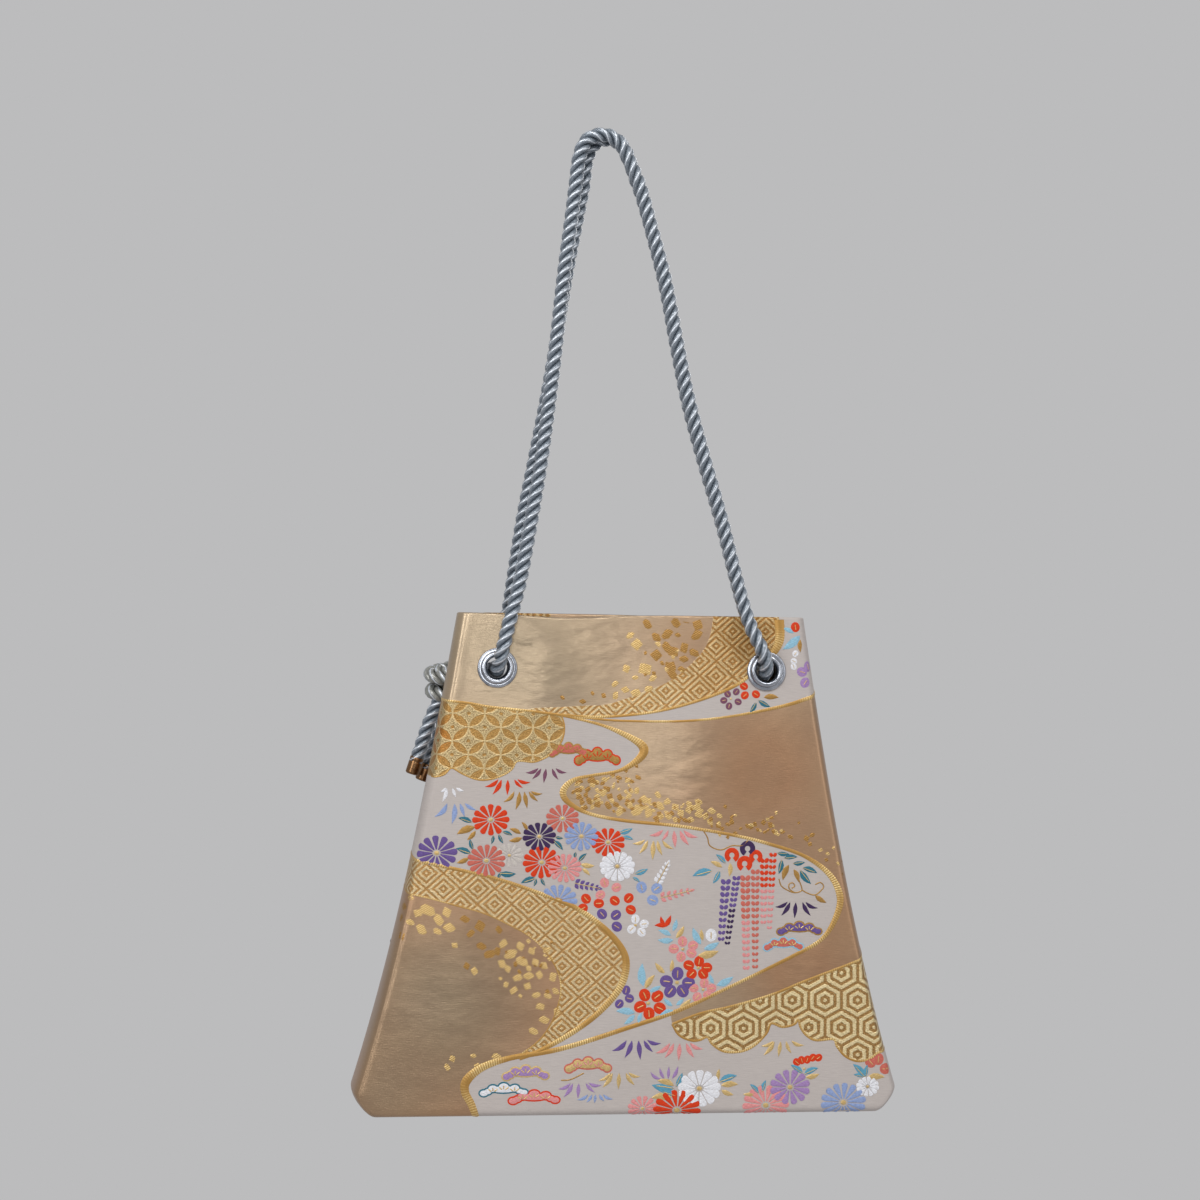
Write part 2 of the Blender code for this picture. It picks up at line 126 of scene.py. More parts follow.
# The rope's route, as in the CAD: from the knot through the eyelets, twice over the top, back to the knot
CORD_ROUTE = (
    (-0.0600, 0.0215, -0.2865),
    (-0.0548, 0.0178, -0.2848),
    (-0.0525, 0.0110, -0.2838),
    (-0.0521, 0.0000, -0.2848),
    (-0.0521, -0.0098, -0.2832),
    (-0.0514, -0.0145, -0.2808),
    (-0.0502, -0.0188, -0.2745),
    (-0.0487, -0.0196, -0.2680),
    (-0.0465, -0.0184, -0.2585),
    (-0.0411, -0.0161, -0.2365),
    (-0.0357, -0.0146, -0.2047),
    (-0.0308, -0.0131, -0.1727),
    (-0.0250, -0.0107, -0.1240),
    (-0.0204, -0.0082, -0.0759),
    (-0.0165, -0.0065, -0.0432),
    (-0.0143, -0.0053, -0.0235),
    (-0.0126, -0.0046, -0.0090),
    (-0.0086, -0.0043, 0.0006),
    (0.0000, -0.0042, 0.0040),
    (0.0086, -0.0043, 0.0006),
    (0.0135, -0.0046, -0.0078),
    (0.0169, -0.0050, -0.0150),
    (0.0211, -0.0056, -0.0254),
    (0.0262, -0.0066, -0.0435),
    (0.0345, -0.0081, -0.0739),
    (0.0410, -0.0098, -0.1063),
    (0.0478, -0.0115, -0.1385),
    (0.0566, -0.0131, -0.1705),
    (0.0660, -0.0147, -0.2025),
    (0.0743, -0.0162, -0.2344),
    (0.0808, -0.0182, -0.2565),
    (0.0862, -0.0196, -0.2680),
    (0.0893, -0.0188, -0.2745),
    (0.0914, -0.0145, -0.2808),
    (0.0921, -0.0098, -0.2832),
    (0.0922, 0.0000, -0.2848),
    (0.0922, 0.0098, -0.2832),
    (0.0918, 0.0145, -0.2808),
    (0.0908, 0.0188, -0.2745),
    (0.0893, 0.0196, -0.2680),
    (0.0868, 0.0182, -0.2565),
    (0.0799, 0.0162, -0.2344),
    (0.0709, 0.0147, -0.2025),
    (0.0606, 0.0131, -0.1705),
    (0.0510, 0.0115, -0.1385),
    (0.0436, 0.0098, -0.1063),
    (0.0367, 0.0081, -0.0739),
    (0.0283, 0.0066, -0.0435),
    (0.0226, 0.0056, -0.0254),
    (0.0190, 0.0050, -0.0165),
    (0.0158, 0.0046, -0.0078),
    (0.0118, 0.0043, 0.0006),
    (0.0040, 0.0042, 0.0040),
    (-0.0040, 0.0043, 0.0006),
    (-0.0078, 0.0046, -0.0085),
    (-0.0092, 0.0050, -0.0220),
    (-0.0124, 0.0063, -0.0401),
    (-0.0179, 0.0082, -0.0726),
    (-0.0250, 0.0107, -0.1240),
    (-0.0331, 0.0131, -0.1704),
    (-0.0390, 0.0146, -0.2031),
    (-0.0436, 0.0165, -0.2359),
    (-0.0458, 0.0180, -0.2520),
    (-0.0500, 0.0210, -0.2650),
    (-0.0562, 0.0245, -0.2742),
)
TAIL_ROUTES = {
    "tail_outer": (
        (-0.0852, 0.0215, -0.3080),
        (-0.0880, 0.0205, -0.3150),
        (-0.0910, 0.0200, -0.3240),
        (-0.0938, 0.0200, -0.3330),
    ),
    "tail_inner": (
        (-0.0782, 0.0285, -0.3095),
        (-0.0812, 0.0290, -0.3180),
        (-0.0848, 0.0290, -0.3280),
        (-0.0882, 0.0288, -0.3375),
    ),
}

# The camera, fitted to the photograph
CAMERA_DISTANCE = 0.9
CAMERA_AZIMUTH = math.radians(-6.53)
CAMERA_PAN = math.radians(1.09)
CAMERA_TILT = math.radians(0.49)
CAMERA_ROLL = math.radians(0.91)
CAMERA_LENS = 50.0
SENSOR = 36.0
PHOTO_SIZE = 1200.0
FOCAL_PIXELS = CAMERA_LENS / SENSOR * PHOTO_SIZE

# Where the brocade's fields of pattern end, read off the photograph, in its pixels
UPPER_ROPE_LINE = (
    (779, 596), (779, 617), (777.5, 646), (751, 674), (733, 687), (697, 701), (654, 712), (604, 717),
    (562, 715), (530, 711), (491, 707), (468, 703), (443, 700.5), (425, 699),
)
UPPER_FRET = (
    (713, 596), (713, 619), (708, 642), (697, 658), (683, 671), (664, 684), (644, 692), (622, 700),
    (604, 705), (580, 706), (554, 707.5), (526, 707.5), (526, 710), (562, 714.5), (604, 717), (654, 712),
    (697, 701), (733, 687), (751, 674), (777.5, 646), (779, 617), (779, 596),
)
WEDGE_LINE = (
    (900, 668), (815, 696), (783, 706), (733, 716), (683, 721), (626, 721), (596, 719), (569, 716),
)
SHIPPO_TOP = ((425, 699), (443, 700.5), (468, 703), (491, 707), (530, 711), (562, 716))
SHIPPO_LOWER_EDGE = (
    (562, 716), (564.5, 726.6), (563, 738), (558.2, 746.7), (549.6, 754.3), (546.7, 757.2), (534.3, 762),
    (521.9, 761), (516.1, 762), (512.3, 768.7), (504.6, 774.4), (491.2, 779.2), (477.8, 779.7),
    (463.5, 774.4), (453.9, 768.7), (450, 768.7), (444.4, 774.4), (435.7, 776.8), (428, 776.3),
)
STREAM_LINE = (
    (540, 712), (569, 717), (604, 726), (633, 739), (644, 749), (638, 760), (619, 771), (590, 776),
    (572, 781), (563, 792), (569, 803), (590, 814), (626, 821), (679, 826), (733, 835), (769, 844),
    (804, 856), (829, 874), (840, 896), (836, 917), (822, 939), (794, 956), (733, 985), (679, 1010),
    (626, 1028), (561, 1049), (511, 1058), (483, 1067), (467, 1080), (465, 1092), (472, 1106), (480, 1130),
)
LOWER_FRET_OUTER = (
    (340, 850), (395, 857), (413, 860), (447, 867), (494, 878), (536, 892), (576, 908), (604, 928),
    (622, 949), (626, 967), (619, 989), (597, 1014), (569, 1035), (540, 1051), (519, 1059),
)
LOWER_FRET_INNER = (
    (340, 885), (397, 892), (428, 898), (458, 906), (480, 912), (501, 921), (533, 939), (554, 964),
    (561, 989), (554, 1018), (540, 1040), (519, 1056),
)
KIKKO_TOP = (
    (672, 1024), (700, 1013.3), (724.2, 1007.9), (748.5, 1001.8), (776.4, 993.3), (803, 982.4),
    (827.3, 972.7), (855.2, 961.8), (900, 943),
)
KIKKO_LOWER_EDGE = (
    (672, 1024), (679, 1035), (691, 1040.4), (700, 1040), (707.3, 1037), (712, 1044), (724, 1051.5),
    (741, 1051.5), (754.5, 1045.5), (766.7, 1033.3), (771.5, 1023.6), (782.4, 1027.3), (794.5, 1024.8),
    (798.8, 1020), (800.6, 1027.3), (806.7, 1035.8), (816.4, 1040.6), (833.3, 1039.4), (837, 1046.7),
    (845.5, 1056.4), (857.6, 1061.2), (869.7, 1058.8), (880, 1052), (900, 1050),
)

# Enlargements of the photo that the motifs were read from: its pixel at their top left corner, and the scale
ENLARGEMENTS = {
    "left": (420, 770, 7.84),
    "middle": (600, 770, 9.8),
    "right": (700, 830, 9.8),
    "plum": (640, 900, 13.07),
    "base": (600, 1000, 8.711),
    "corner": (450, 1030, 7.467),
    "tip": (740, 1040, 10.116),
    "top": (720, 600, 13.07),
    "satin": (560, 610, 9.8),
    "ground": (560, 735, 11.2),
    "low": (395, 850, 10.45),
    "whole": (340, 560, 2.8),
}

# Colours of thread, as they look in even light
THREADS = {
    "red": (214, 58, 10),
    "pink": (200, 106, 92),
    "rose": (222, 146, 146),
    "purple": (104, 82, 146),
    "dark purple": (58, 38, 82),
    "plum": (122, 76, 100),
    "lilac": (162, 132, 184),
    "blue": (142, 162, 206),
    "sky": (146, 192, 214),
    "teal": (46, 112, 132),
    "sea": (92, 156, 184),
    "white": (228, 230, 236),
    "gold": (222, 192, 132),
    "dark gold": (180, 140, 78),
    "cream": (200, 194, 188),
}

# Chrysanthemums: middle, reach across, colour and number of petals, from the lowest to the highest
CHRYSANTHEMUMS = (
    ("left", 700, 670, 110, "cream", 12), ("left", 1118, 380, 132, "pink", 12),
    ("left", 935, 522, 132, "dark purple", 12), ("left", 1265, 520, 134, "blue", 12),
    ("middle", 80, 710, 168, "red", 12), ("left", 130, 650, 162, "purple", 12),
    ("left", 1135, 770, 134, "rose", 14), ("left", 520, 710, 150, "pink", 14),
    ("left", 555, 390, 146, "red", 12), ("left", 955, 725, 150, "red", 13),
    ("middle", 170, 945, 176, "white", 13), ("left", 1085, 1025, 150, "blue", 13),
    ("base", 370, 945, 130, "rose", 12), ("base", 865, 770, 190, "white", 13),
    ("base", 670, 960, 210, "red", 14), ("tip", 505, 475, 208, "lilac", 12),
    ("tip", 260, 660, 240, "rose", 14), ("tip", 1290, 470, 120, "white", 12),
    ("tip", 1045, 630, 235, "blue", 14),
)
FLOWER_SQUASH = 0.83

# Bamboo leaves: where they spring from, the tips, and the colour
BAMBOO = (
    ("left", 690, 72, ((510, 130), (570, 190), (685, 195), (805, 140), (865, 95)), "red"),
    ("left", 800, 165, ((655, 250), (750, 310), (840, 300), (925, 245), (960, 185)), "dark gold"),
    ("left", 1000, -15, ((830, 20), (880, 70), (970, 100), (1085, 75), (1150, 20)), "plum"),
    ("left", 235, 138, ((160, 170), (175, 250), (280, 215), (345, 165)), "white"),
    ("left", 285, 258, ((115, 365), (250, 420), (350, 365), (440, 315)), "blue"),
    ("middle", 715, 585, ((485, 640), (605, 690), (735, 760), (870, 735), (955, 655)), "rose"),
    ("middle", 530, 685, ((320, 720), (385, 820), (515, 880), (610, 835), (720, 770)), "gold"),
    ("right", 950, 705, ((740, 755), (800, 840), (930, 865), (1085, 840), (1155, 765)), "dark purple"),
    ("base", 322, 345, ((105, 440), (215, 500), (350, 515), (460, 450), (530, 375)), "purple"),
    ("base", 700, 370, ((485, 460), (565, 500), (685, 525), (820, 500), (895, 425)), "rose"),
    ("base", 170, 630, ((-10, 700), (25, 760), (160, 775), (300, 740), (350, 665)), "gold"),
    ("tip", 430, 10, ((215, 60), (240, 155), (390, 170), (520, 135), (650, 55)), "gold"),
    ("corner", 965, 395, ((810, 440), (850, 500), (955, 510), (1080, 465), (1130, 410)), "lilac"),
    ("corner", 1090, 480, ((950, 520), (1020, 540), (1080, 545), (1150, 530), (1215, 515)), "blue"),
    ("base", 590, 690, ((440, 625), (520, 590), (600, 580), (680, 575)), "lilac"),
)

# Single leaves: from the stalk to the tip
LEAVES = (
    ("teal", "left", (
        (405, 410, 300, 375), (575, 512, 560, 580), (618, 505, 652, 575), (648, 485, 724, 512),
        (1062, 525, 1122, 535), (1048, 555, 1120, 628), (1222, 645, 1215, 695), (1245, 718, 1308, 655),
        (398, 655, 282, 615), (415, 622, 392, 540), (625, 810, 752, 815), (612, 852, 640, 800),
        (905, 850, 792, 888), (912, 855, 893, 912), (950, 850, 982, 908),
    )),
    ("dark gold", "left", (
        (430, 448, 290, 502), (435, 478, 370, 548), (790, 500, 702, 460), (800, 532, 698, 556),
        (842, 472, 798, 408), (382, 688, 288, 728),
    )),
    ("gold", "left", ((1262, 740, 1368, 752), (1272, 775, 1332, 828))),
    ("red", "plum", ((352, 340, 190, 332), (322, 352, 270, 212), (318, 352, 402, 198))),
    ("sea", "middle", (
        (190, 618, 320, 575), (222, 658, 326, 682), (342, 1018, 470, 968), (318, 1055, 392, 1098),
        (1092, 985, 905, 1036), (1168, 985, 1104, 1108), (1226, 912, 1134, 824),
    )),
    ("gold", "middle", ((1192, 950, 1080, 895), (1272, 910, 1264, 1040))),
    ("teal", "right", (
        (760, 225, 878, 236), (828, 278, 956, 265), (914, 328, 1030, 316), (1012, 372, 1148, 422),
        (984, 398, 1088, 528), (802, 294, 774, 432),
    )),
    ("dark gold", "right", ((872, 345, 814, 492), (922, 388, 970, 512), (1130, 640, 1238, 712))),
    ("sky", "plum", (
        (402, 462, 238, 392), (432, 520, 232, 520), (428, 402, 476, 248), (792, 572, 690, 358),
        (832, 636, 1030, 548), (960, 1090, 905, 958), (1000, 1110, 1216, 1000), (42, 1120, 30, 828),
        (120, 1190, 272, 1118), (422, 1382, 308, 1278), (470, 1372, 572, 1278), (258, 1502, 452, 1448),
    )),
    ("gold", "plum", (
        (470, 492, 572, 338), (820, 522, 798, 378), (758, 722, 1022, 664), (322, 952, 198, 818),
        (398, 932, 422, 778), (70, 1152, 192, 978), (500, 1442, 662, 1288),
    )),
    ("sky", "base", ((300, 110, 140, 95), (300, 125, 208, 208), (360, 110, 335, 210), (540, 130, 652, 100))),
    ("sea", "base", (
        (662, 752, 716, 634), (642, 768, 452, 740), (652, 832, 518, 790), (1042, 712, 1192, 658),
        (1382, 812, 1308, 734), (1410, 806, 1446, 698),
    )),
    ("gold", "base", (
        (642, 745, 500, 700), (1058, 745, 1202, 735), (1058, 785, 1162, 826), (1030, 692, 1040, 600),
        (622, 845, 448, 852), (1346, 816, 1248, 820),
    )),
    ("sea", "tip", (
        (632, 335, 514, 254), (650, 346, 792, 284), (1262, 372, 1144, 244), (1272, 370, 1290, 248),
        (1252, 372, 1150, 350),
    )),
    ("gold", "tip", ((668, 378, 802, 344), (1290, 382, 1462, 374))),
    ("sky", "top", ((960, 432, 818, 368), (1042, 468, 822, 642))),
    ("dark gold", "top", ((1050, 520, 1052, 682), (574, 1272, 766, 1276))),
    ("teal", "top", ((504, 1310, 656, 1396), (472, 1340, 390, 1472))),
)

# Petals of open flowers and buds: the middle that they spring from, each petal's middle, its size and colour
BLOSSOMS = (
    ("plum", 558, 640, ((555, 540), (690, 590), (670, 690), (535, 740), (440, 635)), 70, "rose"),
    ("plum", 758, 882, ((770, 800), (870, 880), (822, 965), (672, 965), (635, 850)), 74, "red"),
    ("plum", 482, 1075, ((490, 960), (632, 1080), (556, 1186), (394, 1190), (344, 1060)), 88, "purple"),
    ("plum", 822, 1168, ((836, 1082), (932, 1150), (880, 1245), (745, 1265), (700, 1146)), 66, "rose"),
    ("plum", 105, 1345, ((60, 1240), (226, 1256), (256, 1412), (116, 1482), (0, 1392)), 84, "red"),
    ("plum", -200, 1270, ((-182, 1176), (-140, 1284), (-272, 1354)), 62, "purple"),
    ("middle", 70, 1185, ((45, 1105), (162, 1152), (5, 1225)), 50, "rose"),
    ("middle", 215, 1330, ((145, 1282), (282, 1256), (302, 1370)), 52, "red"),
    ("left", 1340, 1050, ((1302, 1010), (1402, 1046), (1276, 1086)), 42, "red"),
    ("middle", 80, 1480, ((20, 1412), (156, 1422), (165, 1535)), 54, "purple"),
    ("middle", 432, 1246, ((408, 1150), (556, 1160), (516, 1276)), 58, "blue"),
    ("plum", -60, 330, ((55, 312), (-60, 250), (20, 420), (-110, 380)), 62, "white"),
    ("plum", 925, 560, ((925, 455),), 84, "white"),
    ("top", 140, 1290, ((212, 1200), (98, 1228), (48, 1312), (116, 1386), (236, 1330)), 50, "plum"),
    ("top", 395, 1180, ((312, 1126), (324, 1246), (470, 1232)), 58, "red"),
    ("top", 1000, 460, ((985, 355),), 68, "red"),
    ("top", 1180, 975, ((1072, 940), (1112, 1080), (1158, 870)), 72, "lilac"),
    ("top", 930, 780, ((985, 700), (965, 800), (962, 870)), 46, "white"),
    ("tip", 1390, 300, ((1320, 222), (1400, 192), (1472, 290)), 62, "pink"),
    ("tip", 650, 290, ((575, 225), (625, 205), (682, 200), (738, 180), (795, 180)), 42, "red"),
)

# Sprigs of small leaves in pairs: from the stalk to the tip, the number of pairs, their length and colour
SPRIGS = (
    ("middle", 592, 1252, 902, 1175, 5, 66, "rose"),
    ("middle", 560, 1110, 672, 900, 5, 66, "white"),
    ("left", 1212, 888, 1412, 930, 5, 52, "purple"),
)

# Racemes of wisteria: top, bottom, number and size of florets, and the colours at the top and at the bottom
WISTERIA = (
    ("right", 250, 505, 205, 1065, 10, 44, "purple", "purple"),
    ("right", 356, 470, 266, 1105, 13, 36, "purple", "dark purple"),
    ("right", 442, 470, 452, 1350, 15, 46, "pink", "rose"),
    ("right", 542, 410, 540, 1340, 16, 40, "pink", "pink"),
    ("right", 632, 300, 622, 905, 11, 40, "red", "rose"),
    ("right", 718, 245, 682, 960, 13, 34, "red", "rose"),
)
WISTERIA_BUDS = (
    ("right", 310, 245, 72, "red"), ("right", 465, 182, 76, "dark purple"), ("right", 547, 262, 66, "red"),
    ("right", 436, 330, 76, "red"),
)

# Pines seen as clouds: left, right, top and bottom, and the colours of rim, middle and marks
PINES = (
    ("ground", 150, 690, 130, 380, "red", "dark gold", "red"),
    ("ground", -140, 330, 75, 280, "dark gold", "pink", "dark gold"),
    ("right", 740, 1210, 890, 1060, "dark gold", "purple", "gold"),
    ("right", 608, 1030, 1040, 1215, "sky", "pink", "gold"),
    ("corner", 385, 745, 258, 398, "gold", "lilac", "gold"),
    ("corner", 850, 1212, 195, 342, "pink", "gold", "rose"),
    ("corner", 214, 588, 388, 516, "teal", "white", "gold"),
    ("corner", 430, 826, 442, 575, "red", "rose", "gold"),
)

# Gold tendrils, one thread wide
TENDRILS = (
    ("right", ((775, 480), (800, 550), (860, 592), (930, 616), (1000, 590), (975, 500), (950, 440))),
    ("right", ((1000, 590), (1060, 622), (1130, 636), (1190, 590), (1212, 550), (1180, 515), (1130, 535))),
    ("right", ((930, 616), (880, 580), (875, 535), (910, 520), (930, 550), (900, 575))),
    ("middle", ((1010, 590), (1050, 660), (1075, 740), (1180, 780), (1290, 740), (1390, 740), (1450, 690))),
    ("corner", ((830, 376), (900, 370), (1000, 322))),
)

# Single flakes of gold leaf: middle and size, bright ones and dark ones
FLAKES = (
    ("low", "gold", (
        (345, 630, 150), (540, 650, 105), (240, 660, 95), (455, 730, 115), (160, 755, 85), (565, 810, 120),
        (275, 830, 115), (445, 850, 85), (160, 500, 70), (625, 995, 70), (1130, 980, 95), (1310, 1010, 95),
        (1430, 1060, 80), (1210, 1090, 130), (1330, 1170, 125), (1120, 1190, 90), (1470, 1180, 85),
        (1180, 1245, 75), (1400, 1240, 65), (830, 1265, 85), (1280, 1340, 95), (1400, 1320, 105),
        (1510, 1310, 85), (1160, 1410, 65), (1240, 1470, 85), (1385, 1430, 85), (1480, 1520, 85),
        (1560, 1210, 80), (1520, 1640, 90), (1600, 1530, 80), (1650, 1330, 95), (1590, 1050, 80),
        (1680, 1480, 80), (1560, 1780, 100), (1690, 1690, 85), (1450, 1900, 95), (600, 2180, 70),
        (820, 2150, 60), (1060, 2160, 90), (860, 2250, 60), (545, 2270, 70),
    )),
    ("low", "dark gold", (
        (60, 600, 100), (20, 720, 80), (65, 900, 85), (730, 720, 95), (890, 795, 120), (790, 870, 85),
        (1085, 835, 80), (905, 1005, 100), (985, 1090, 115), (1070, 1060, 85), (750, 1210, 75),
    )),
    ("satin", "dark gold", (
        (855, 135, 100), (1130, 120, 110), (1240, 95, 80), (1350, 150, 115), (1340, 245, 115),
        (1050, 235, 115), (945, 265, 100), (1155, 245, 60), (1045, 365, 110), (1110, 405, 115),
        (1215, 370, 100), (1315, 420, 100), (945, 440, 115), (1215, 480, 90), (1000, 520, 50),
        (1085, 560, 120), (1190, 580, 75), (1095, 625, 110), (430, 835, 55), (225, 895, 65), (25, 855, 50),
        (320, 812, 45),
    )),
    ("satin", "gold", (
        (690, 240, 80), (755, 330, 115), (650, 570, 85), (835, 575, 135), (740, 660, 60), (910, 665, 80),
        (870, 770, 80), (740, 810, 95), (640, 780, 80), (540, 720, 70), (545, 835, 75),
    )),
    ("ground", "gold", (
        (870, 840, 150), (940, 715, 90), (1095, 670, 80), (1120, 795, 105), (990, 872, 105), (1200, 752, 80),
        (1290, 805, 90), (1130, 910, 75), (1220, 910, 75), (1350, 872, 90), (1440, 835, 90), (1290, 945, 70),
        (1460, 945, 80), (1550, 745, 85), (1540, 810, 75), (1550, 892, 90), (860, 625, 75), (780, 780, 90),
        (500, 500, 70), (480, 655, 80), (420, 625, 60), (670, 860, 100),
    )),
    ("ground", "dark gold", (
        (230, 520, 60), (350, 510, 90), (405, 535, 70), (210, 620, 90), (310, 610, 70), (330, 742, 90),
        (420, 782, 80), (590, 440, 70), (662, 482, 70), (742, 402, 50), (512, 600, 60), (560, 690, 80),
        (212, 702, 60), (540, 792, 90), (630, 782, 80), (672, 702, 80), (860, 352, 45), (150, 640, 50),
        (290, 680, 60), (250, 760, 60),
    )),
    ("whole", "gold", (
        (985, 692, 20), (1005, 705, 24), (1022, 716, 20), (1040, 702, 22), (1062, 716, 18), (1035, 733, 20),
        (1060, 738, 16), (1345, 812, 14), (1365, 822, 12), (1382, 806, 10), (1395, 850, 12), (1415, 822, 9),
    )),
    ("whole", "dark gold", (
        (1078, 690, 12), (1085, 740, 14), (1095, 720, 10), (1140, 745, 14), (1162, 740, 14), (1186, 735, 16),
        (1206, 742, 18), (1215, 760, 14), (1190, 762, 12), (1170, 755, 12), (1240, 762, 14), (1262, 776, 16),
        (1285, 736, 9), (1306, 780, 18), (1322, 770, 16), (1316, 796, 14), (1362, 840, 12), (1420, 846, 8),
        (1410, 880, 8),
    )),
)

# Gold ropes and edges of the fields: their line, and the width that they have at some of its pixels
BORDERS = (
    (UPPER_ROPE_LINE, ((779, 596, 11.0), (778, 640, 9.5), (751, 674, 3.2), (654, 712, 2.5), (425, 699, 2.5))),
    (WEDGE_LINE, ((900, 668, 4.5), (815, 696, 4.0), (733, 716, 2.4), (569, 716, 2.2))),
    (STREAM_LINE, (
        (540, 712, 2.0), (604, 726, 2.9), (633, 739, 6.5), (644, 749, 9.5), (638, 760, 7.0), (619, 771, 3.4),
        (590, 776, 2.8), (572, 781, 4.6), (563, 792, 7.0), (569, 803, 5.2), (590, 814, 3.4), (733, 835, 3.0),
        (804, 856, 3.6), (829, 874, 5.6), (840, 896, 7.2), (836, 917, 6.0), (822, 939, 3.8), (733, 985, 3.0),
        (679, 1010, 4.2), (561, 1049, 4.8), (511, 1058, 5.2), (483, 1067, 7.5), (467, 1080, 9.0),
        (465, 1092, 8.0), (480, 1130, 6.0),
    )),
    (LOWER_FRET_OUTER, (
        (340, 850, 3.0), (536, 892, 3.6), (604, 928, 5.6), (626, 967, 7.5), (597, 1014, 5.6),
        (519, 1059, 4.0),
    )),
    (LOWER_FRET_INNER, ((340, 885, 1.4), (519, 1056, 1.4))), (SHIPPO_TOP, ((425, 699, 1.6), (562, 716, 1.6))),
    (SHIPPO_LOWER_EDGE, ((562, 716, 1.6), (428, 776, 1.6))), (KIKKO_TOP, ((672, 1024, 2.6), (900, 943, 2.6))),
    (KIKKO_LOWER_EDGE, ((672, 1024, 2.2), (900, 1050, 2.2))),
)

# Small flakes of gold leaf: left, right, top and bottom of where they lie, and how many
SMALL_FLAKES = (
    ((576, 640, 776, 812), 60), ((640, 700, 800, 822), 34), ((700, 790, 812, 838), 26),
    ((640, 700, 640, 690), 16), ((500, 552, 940, 1000), 14),
)

# Profiles of stitched shapes: the share of the way to the tip, and the share of the full breadth there
PETAL = ((0.0, 0.17), (0.25, 0.44), (0.5, 0.70), (0.7, 0.91), (0.84, 1.0), (0.94, 0.84), (1.0, 0.36))
BLADE = ((0.0, 0.10), (0.12, 0.45), (0.3, 0.9), (0.45, 1.0), (0.65, 0.78), (0.85, 0.38), (1.0, 0.04))
LEAF = ((0.0, 0.08), (0.15, 0.6), (0.35, 1.0), (0.6, 0.9), (0.8, 0.55), (0.93, 0.22), (1.0, 0.04))
EVEN = ((0.0, 0.7), (0.2, 1.0), (0.8, 1.0), (1.0, 0.7))
# Across a stitched shape: the share of its half breadth, and of its rise
SECTION = ((-1.0, 0.0), (-0.6, 0.85), (0.0, 1.0), (0.6, 0.85), (1.0, 0.0))
DISC_SIDES = 16
# The lobes and the body of a pine seen as a cloud, in shares of its half width: across, up, and half lengths
PINE_LOBES = (
    (-0.78, -0.12, 0.22, 0.22), (-0.43, 0.10, 0.24, 0.24), (0.0, 0.19, 0.25, 0.25), (0.43, 0.11, 0.24, 0.24),
    (0.79, -0.10, 0.21, 0.21),
)
PINE_BODIES = ((0.0, 0.06, 0.60, 0.23), (-0.62, -0.04, 0.20, 0.21), (0.63, -0.03, 0.20, 0.19))
PINE_TALL = 0.88
FLAKE_CORNERS = 6
FLAKE_SEED = 11
CORD_TWIST = 1.25
LEAF_HATCH = 0.0011

# How far stitched shapes stand off the cloth
GROUND_LIFT = 0.00005
STITCH_RISE = 0.00016
LAYER_LIFT = 0.00004
BORDER_LIFT = 0.00008
BORDER_RISE = 0.00045
BORDER_STEP = 0.0008
CORD_RISE = 0.20
EYELET_CLEAR = 0.0092
SEAM_MARGIN = 0.001
# A pixel of the photograph on the middle of the bag's front, in metres
MEAN_HALF_DEPTH = (MOUTH_HALF_DEPTH + BASE_HALF_DEPTH) / 2.0
PIXEL = (CAMERA_DISTANCE * math.cos(CAMERA_AZIMUTH) - MEAN_HALF_DEPTH) / FOCAL_PIXELS

# Steps of the meshes
FACE_STEPS = 132
SIDE_STEPS = 10
FACE_ROWS = 124
LINING_ROWS = 40
CORNER_ROWS = 8
ROUND_ROWS = 6
HEM_ROWS = 14
HEM_FOLD_STEPS = 8
TURN_STEPS = 72
KNOT_POINTS = 16
SPLINE_STEPS = 6
CORD_STEPS = 8
KNOT_STEPS = 5
SIGHT_ROUNDS = 6
# Points of a turned piece that are nearer than this become one
MERGE_REACH = 0.00001

# The repeats of the patterns, and a pixel of the photograph in the middle of one circle and of one hexagon
FRET_WIDTH = 0.01795
FRET_HEIGHT = 0.0161
FRET_RINGS = 5.0
SHIPPO_RADIUS = (0.00850, 0.00722)
SHIPPO_PIXEL = (517, 727.5)
KIKKO_PITCH = 0.0176
KIKKO_ROWS = 0.0286
KIKKO_RINGS = 2.5
KIKKO_PIXEL = (792.7, 1000.6)
# A whole number of repeats, which keeps the places on the cloth above zero
CELL_SHIFT = 40.0
# How soft the fields' edges are
FIELD_BLUR = 0.00018

# The plain ground's colour, with painted sheen and shade over it: from 0, pale gold, where a sheen of the
# lamps is painted, through 1, brown, to 2, bronze, where shade is painted: a spot, its reach and its value
GROUND_SHEEN_AND_SHADE = (
    ((520, 650), 0.060, 0.0),
    ((640, 640), 0.040, 0.2),
    ((700, 650), 0.030, 0.6),
    ((760, 775), 0.050, 1.1),
    ((650, 745), 0.030, 0.25),
    ((860, 900), 0.050, 0.9),
    ((800, 975), 0.030, 1.1),
    ((440, 1000), 0.075, 2.0),
    ((380, 1085), 0.030, 1.8),
    # These four lie on the left side fold: painted shade there, with the orange of a grazing reflection
    # painted in
    ((418, 770), 0.012, 1.2),
    ((390, 870), 0.012, 1.2),
    ((352, 980), 0.012, 1.3),
    ((332, 1070), 0.014, 1.2),
)
# Where the gold thread is a warmer gold, in the same way, and where the orange of a grazing reflection is
# painted on the left side fold
WARM_GOLD_AND_FOLD_REFLECTION = (
    # This spot lies on the left side fold: a painted orange reflection
    ((432, 735), 0.011, 1.0),
    ((750, 640), 0.030, 1.0),
    ((715, 685), 0.016, 0.6),
)
# How creased the plain ground is, in the same way
CREASES = (
    ((540, 662), 0.022, 1.0),
    ((600, 632), 0.022, 0.7),
    ((500, 690), 0.014, 0.5),
    ((468, 630), 0.010, 0.3),
    ((700, 750), 0.018, 0.55),
    ((690, 790), 0.020, 0.7),
    ((470, 1010), 0.050, 0.22),
    ((790, 985), 0.020, 0.5),
)

